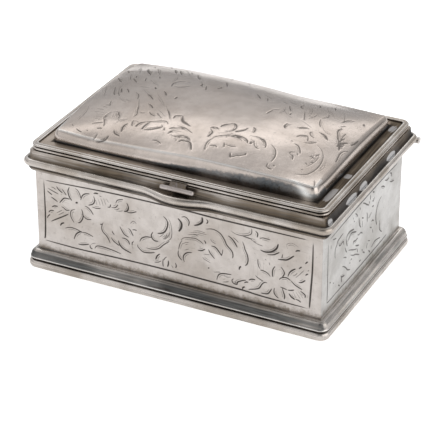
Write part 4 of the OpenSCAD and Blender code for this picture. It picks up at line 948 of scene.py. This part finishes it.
    (0.28, 19.2, -5.2, 19.6, -4.2, 20.6, -3.4, 21.2, -3.5, 21.7, -5),
    (0.32, 25.1, 5.3, 24.9, 3.4, 25.7, 1.6, 26.8, -0.6, 27.3, -1.8, 28, -3.4),
    (0.26, 26.7, 4, 26.6, 2, 26.9, 0.5, 27.2, -1), (0.34, 28.2, 1, 27.4, -0.2, 27.4, -1.6, 28, -3.2),
    (0.18, 27.6, -9, 28.1, -11, 27.8, -13), (0.2, 25.4, -7.2, 25.9, -9, 25.8, -11, 25.2, -13),
    (0.18, 24.4, -7.6, 24.9, -9, 24.8, -10.6), (0.28, 28.3, -16, 29.2, -18.4), (0.2, 17, 2, 19, 1, 20.4, 0.2),
    (0.2, 12, 4.4, 13.6, 2.6, 15.4, 1.4), (0.2, 21.6, 2.6, 23, 1, 24.6, 0.4),
    # fine lines, back
    (0.22, -27, 14, -25.6, 11.6, -24.4, 8.6), (0.22, -22.4, 13.6, -21, 11, -19.4, 8.8),
    (0.22, -16.4, 15.6, -14.8, 13.4, -13.2, 11), (0.22, -15.4, 9.4, -14.6, 7.4, -14.8, 5.6),
    (0.22, -20, 5.4, -18, 3.6, -16.4, 2.8), (0.22, -26.4, 8.6, -25.4, 6.4, -24.4, 4.6),
    (0.22, -9.6, 9.4, -8.6, 7.6, -7.4, 5.4), (0.22, 5, 9.8, 6.6, 8.6, 8.2, 7.6),
    (0.22, 11, 9.4, 12.4, 8.6, 13.6, 8.2), (0.22, 16.4, 9.4, 17.4, 7.2, 17.8, 4.6),
    (0.22, 19, 11.4, 20.6, 10, 22, 8.4), (0.22, 22.6, 12.4, 23.6, 10, 24.4, 7.6),
    (0.22, 12, 5.6, 12.6, 3.6, 12.2, 1.8), (0.22, 18.6, 7.8, 18.8, 5.4, 18.2, 3.4),
]

columns, rows = 360, 226
grid_x, grid_y = spread(dome_a, columns), spread(dome_b, rows)
dome_cuts = [stroke(0.62 * width, *places) + (0, 0, 0.025) for width, *places in dome_panel]
inside = cut_depth(shaded(dome_cuts, width=0.15), grid_x, grid_y)
flat_x, flat_y = np.meshgrid(grid_x, grid_y, indexing="ij")
skin_x, skin_y, edge = rounded(flat_x, flat_y, dome_a, dome_b, dome_corner)
rise = dome_rise(skin_x, skin_y, edge, dome_a, dome_b, edge_h, edge_w)
rise = rise - np.maximum(inside, 0) * graver_slope
rise = rise - (waver(skin_x, 3, 0.05 * mm) + waver(skin_y, 4, 0.05 * mm)) * np.clip(edge / (3 * mm), 0, 1)
rise = rise + settled(skin_x, skin_y, edge)
outer = np.stack([skin_x, skin_y + dome_middle, rise + dome_base], -1)
number = np.arange(columns * rows).reshape(columns, rows)
rim_of_grid = np.concatenate([number[:-1, 0], number[-1, :-1], number[:0:-1, -1], number[0, :0:-1]])
edge_x, edge_y = skin_x.ravel()[rim_of_grid], skin_y.ravel()[rim_of_grid]
# the hollow side: rings that shrink to the middle, each with as many points as the outer edge
in_a, in_b = dome_a - sheet_t, dome_b - sheet_t
shares = np.array([1.0, 0.999, 0.995, 0.985, 0.97, 0.95, 0.90, 0.80, 0.66, 0.50, 0.32, 0.14, 0.02])[:, None]
ring_x, ring_y = edge_x * in_a / dome_a * shares, edge_y * in_b / dome_b * shares
ring_edge = np.minimum(in_a - np.abs(ring_x), in_b - np.abs(ring_y))
ring_rise = dome_rise(ring_x, ring_y, np.maximum(ring_edge, 0), in_a, in_b, edge_h - sheet_t, edge_w)
ring_rise = ring_rise + settled(ring_x, ring_y, np.maximum(ring_edge, 0))
ring_points = np.stack([ring_x, ring_y + dome_middle, ring_rise + dome_base], -1)
under_count = ring_x.size
under_number = columns * rows + np.arange(under_count).reshape(ring_x.shape)
loops = np.vstack([rim_of_grid, under_number])
faces = quads_of(number) + quads_of(np.column_stack([loops, loops[:, 0]])) + [loops[-1].tolist()]
vertices = np.concatenate([outer.reshape(-1, 3), ring_points.reshape(-1, 3)])
cut = np.concatenate([np.clip(0.5 + inside / (2 * cut_blur), 0, 1).ravel(), np.zeros(under_count)])
# dirt in the angle at its foot, and painted shade there that climbs the front roll towards the right; a painted
# highlight line along the front edge, and a painted glint at the front right corner
at_front = skin_y < -15 * mm
roll_dark_w = np.interp(skin_x / mm, (-30, -9.4, -3.8, 1.7, 10, 18, 24.5, 28),
                   (0.03, 0.04, 0.08, 0.17, 0.32, 0.54, 0.62, 0.2))
roll_dark_w = np.where(at_front, roll_dark_w, 0.05) * mm
foot_shade = np.interp(edge / roll_dark_w, (0, 0.3, 1, 1.3), (1.35, 1.1, 0.55, 0))
dark = np.concatenate([foot_shade.ravel(), np.full(under_count, 0.1)])
reach = np.interp(skin_x / mm, (-8, 8, 22, 29), (0.20, 0.14, 0.18, 0.30)) * mm
line_in = 1.02 * mm
line = np.exp(-(((edge - line_in) / reach) ** 2)) * (0.5 + 0.5 * waver(skin_x, 5, 1.0)) * at_front
glint_x = 28.2 * mm - 2.6 * np.clip(edge, 0, 1.3 * mm)
glint = np.exp(-((skin_x - glint_x) / (1.15 * mm)) ** 2 - (np.maximum(edge - 1.2 * mm, 0) / (0.3 * mm)) ** 2)
bare = np.concatenate([np.maximum(line, glint * at_front).ravel(), np.zeros(under_count)])
# blue-grey tones of the dirt and painted shade at the dome's foot
dome_dirt_and_shade = (0.05, 0.055, 0.06), (0.17, 0.18, 0.19)
dome_silver = silver("dome_silver", (0.68, 0.605, 0.555), (0.52, 0.45, 0.40), dome_dirt_and_shade, rough=0.17, blotch=0.7,
                     scratch=0.9, ink=0.72)
skin("lid_dome", vertices, faces, dome_silver, "lid", "silver_engraved", cut=cut, dark=dark, bare=bare)


# Thumb bar: a round-ended rod, soldered to a short root that grips the front of the lid frame. The rod is rubbed
# to a dull grey, and the root behind it is darkened with painted shade, the shadow between rod and frame.
bar_low, bar_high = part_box("thumb_bar")
bar_x, bar_half = (bar_low.x + bar_high.x) / 2 + 0.3 * mm, (bar_high.x - bar_low.x) / 2 - 0.3 * mm
bar_r = 0.5 * mm
bar_y, bar_z = bar_low.y + bar_r, 27.25 * mm
angle = np.linspace(0, 2 * np.pi, 24, endpoint=False)
lengths = np.concatenate([-bar_half + bar_r * (1 - np.cos(np.linspace(0.15, np.pi / 2, 8))),
                          np.linspace(-bar_half + bar_r, bar_half - bar_r, 20)[1:-1],
                          bar_half - bar_r * (1 - np.cos(np.linspace(np.pi / 2, 0.15, 8)))])
round_r = bar_r * np.sqrt(np.clip(1 - (np.clip(np.abs(lengths) - bar_half + bar_r, 0, bar_r) / bar_r) ** 2, 0, 1))
rod = spanned(bar_x + lengths[:, None], bar_y - round_r[:, None] * np.cos(angle),
              bar_z + round_r[:, None] * np.sin(angle))
root_outline = np.array([(0.65, 28.05), (1.2, 27.98), (1.55, 27.4), (2.0, 27.7), (1.15, 28.44), (0.65, 28.44)]) * mm
root_x = bar_x + np.linspace(-1.8, 1.8, 12) * mm
root = spanned(root_x[:, None], -half_d - root_outline[:, 0], root_outline[:, 1])
bar_vertices = np.concatenate([rod.reshape(-1, 3), root.reshape(-1, 3)])
rod_count = rod.shape[0] * rod.shape[1]
bar_shade = np.where(np.arange(len(bar_vertices)) < rod_count, 0.1, 0.65)
skin("thumb_bar", bar_vertices, grid_faces(rod) + grid_faces(root, rod_count), dull_silver, "lid", "silver_hinge",
     dark=bar_shade)


# Hinge leaf: the sheet soldered under the back of the lid frame. It sweeps over the back rim and down behind the
# knuckles, and its lower edge stops the open lid.
leaf_silver = silver("leaf_silver", (0.64, 0.60, 0.57), (0.45, 0.39, 0.33), rough=0.28, blotch=0.6)
dress("lid_leaf", leaf_silver)
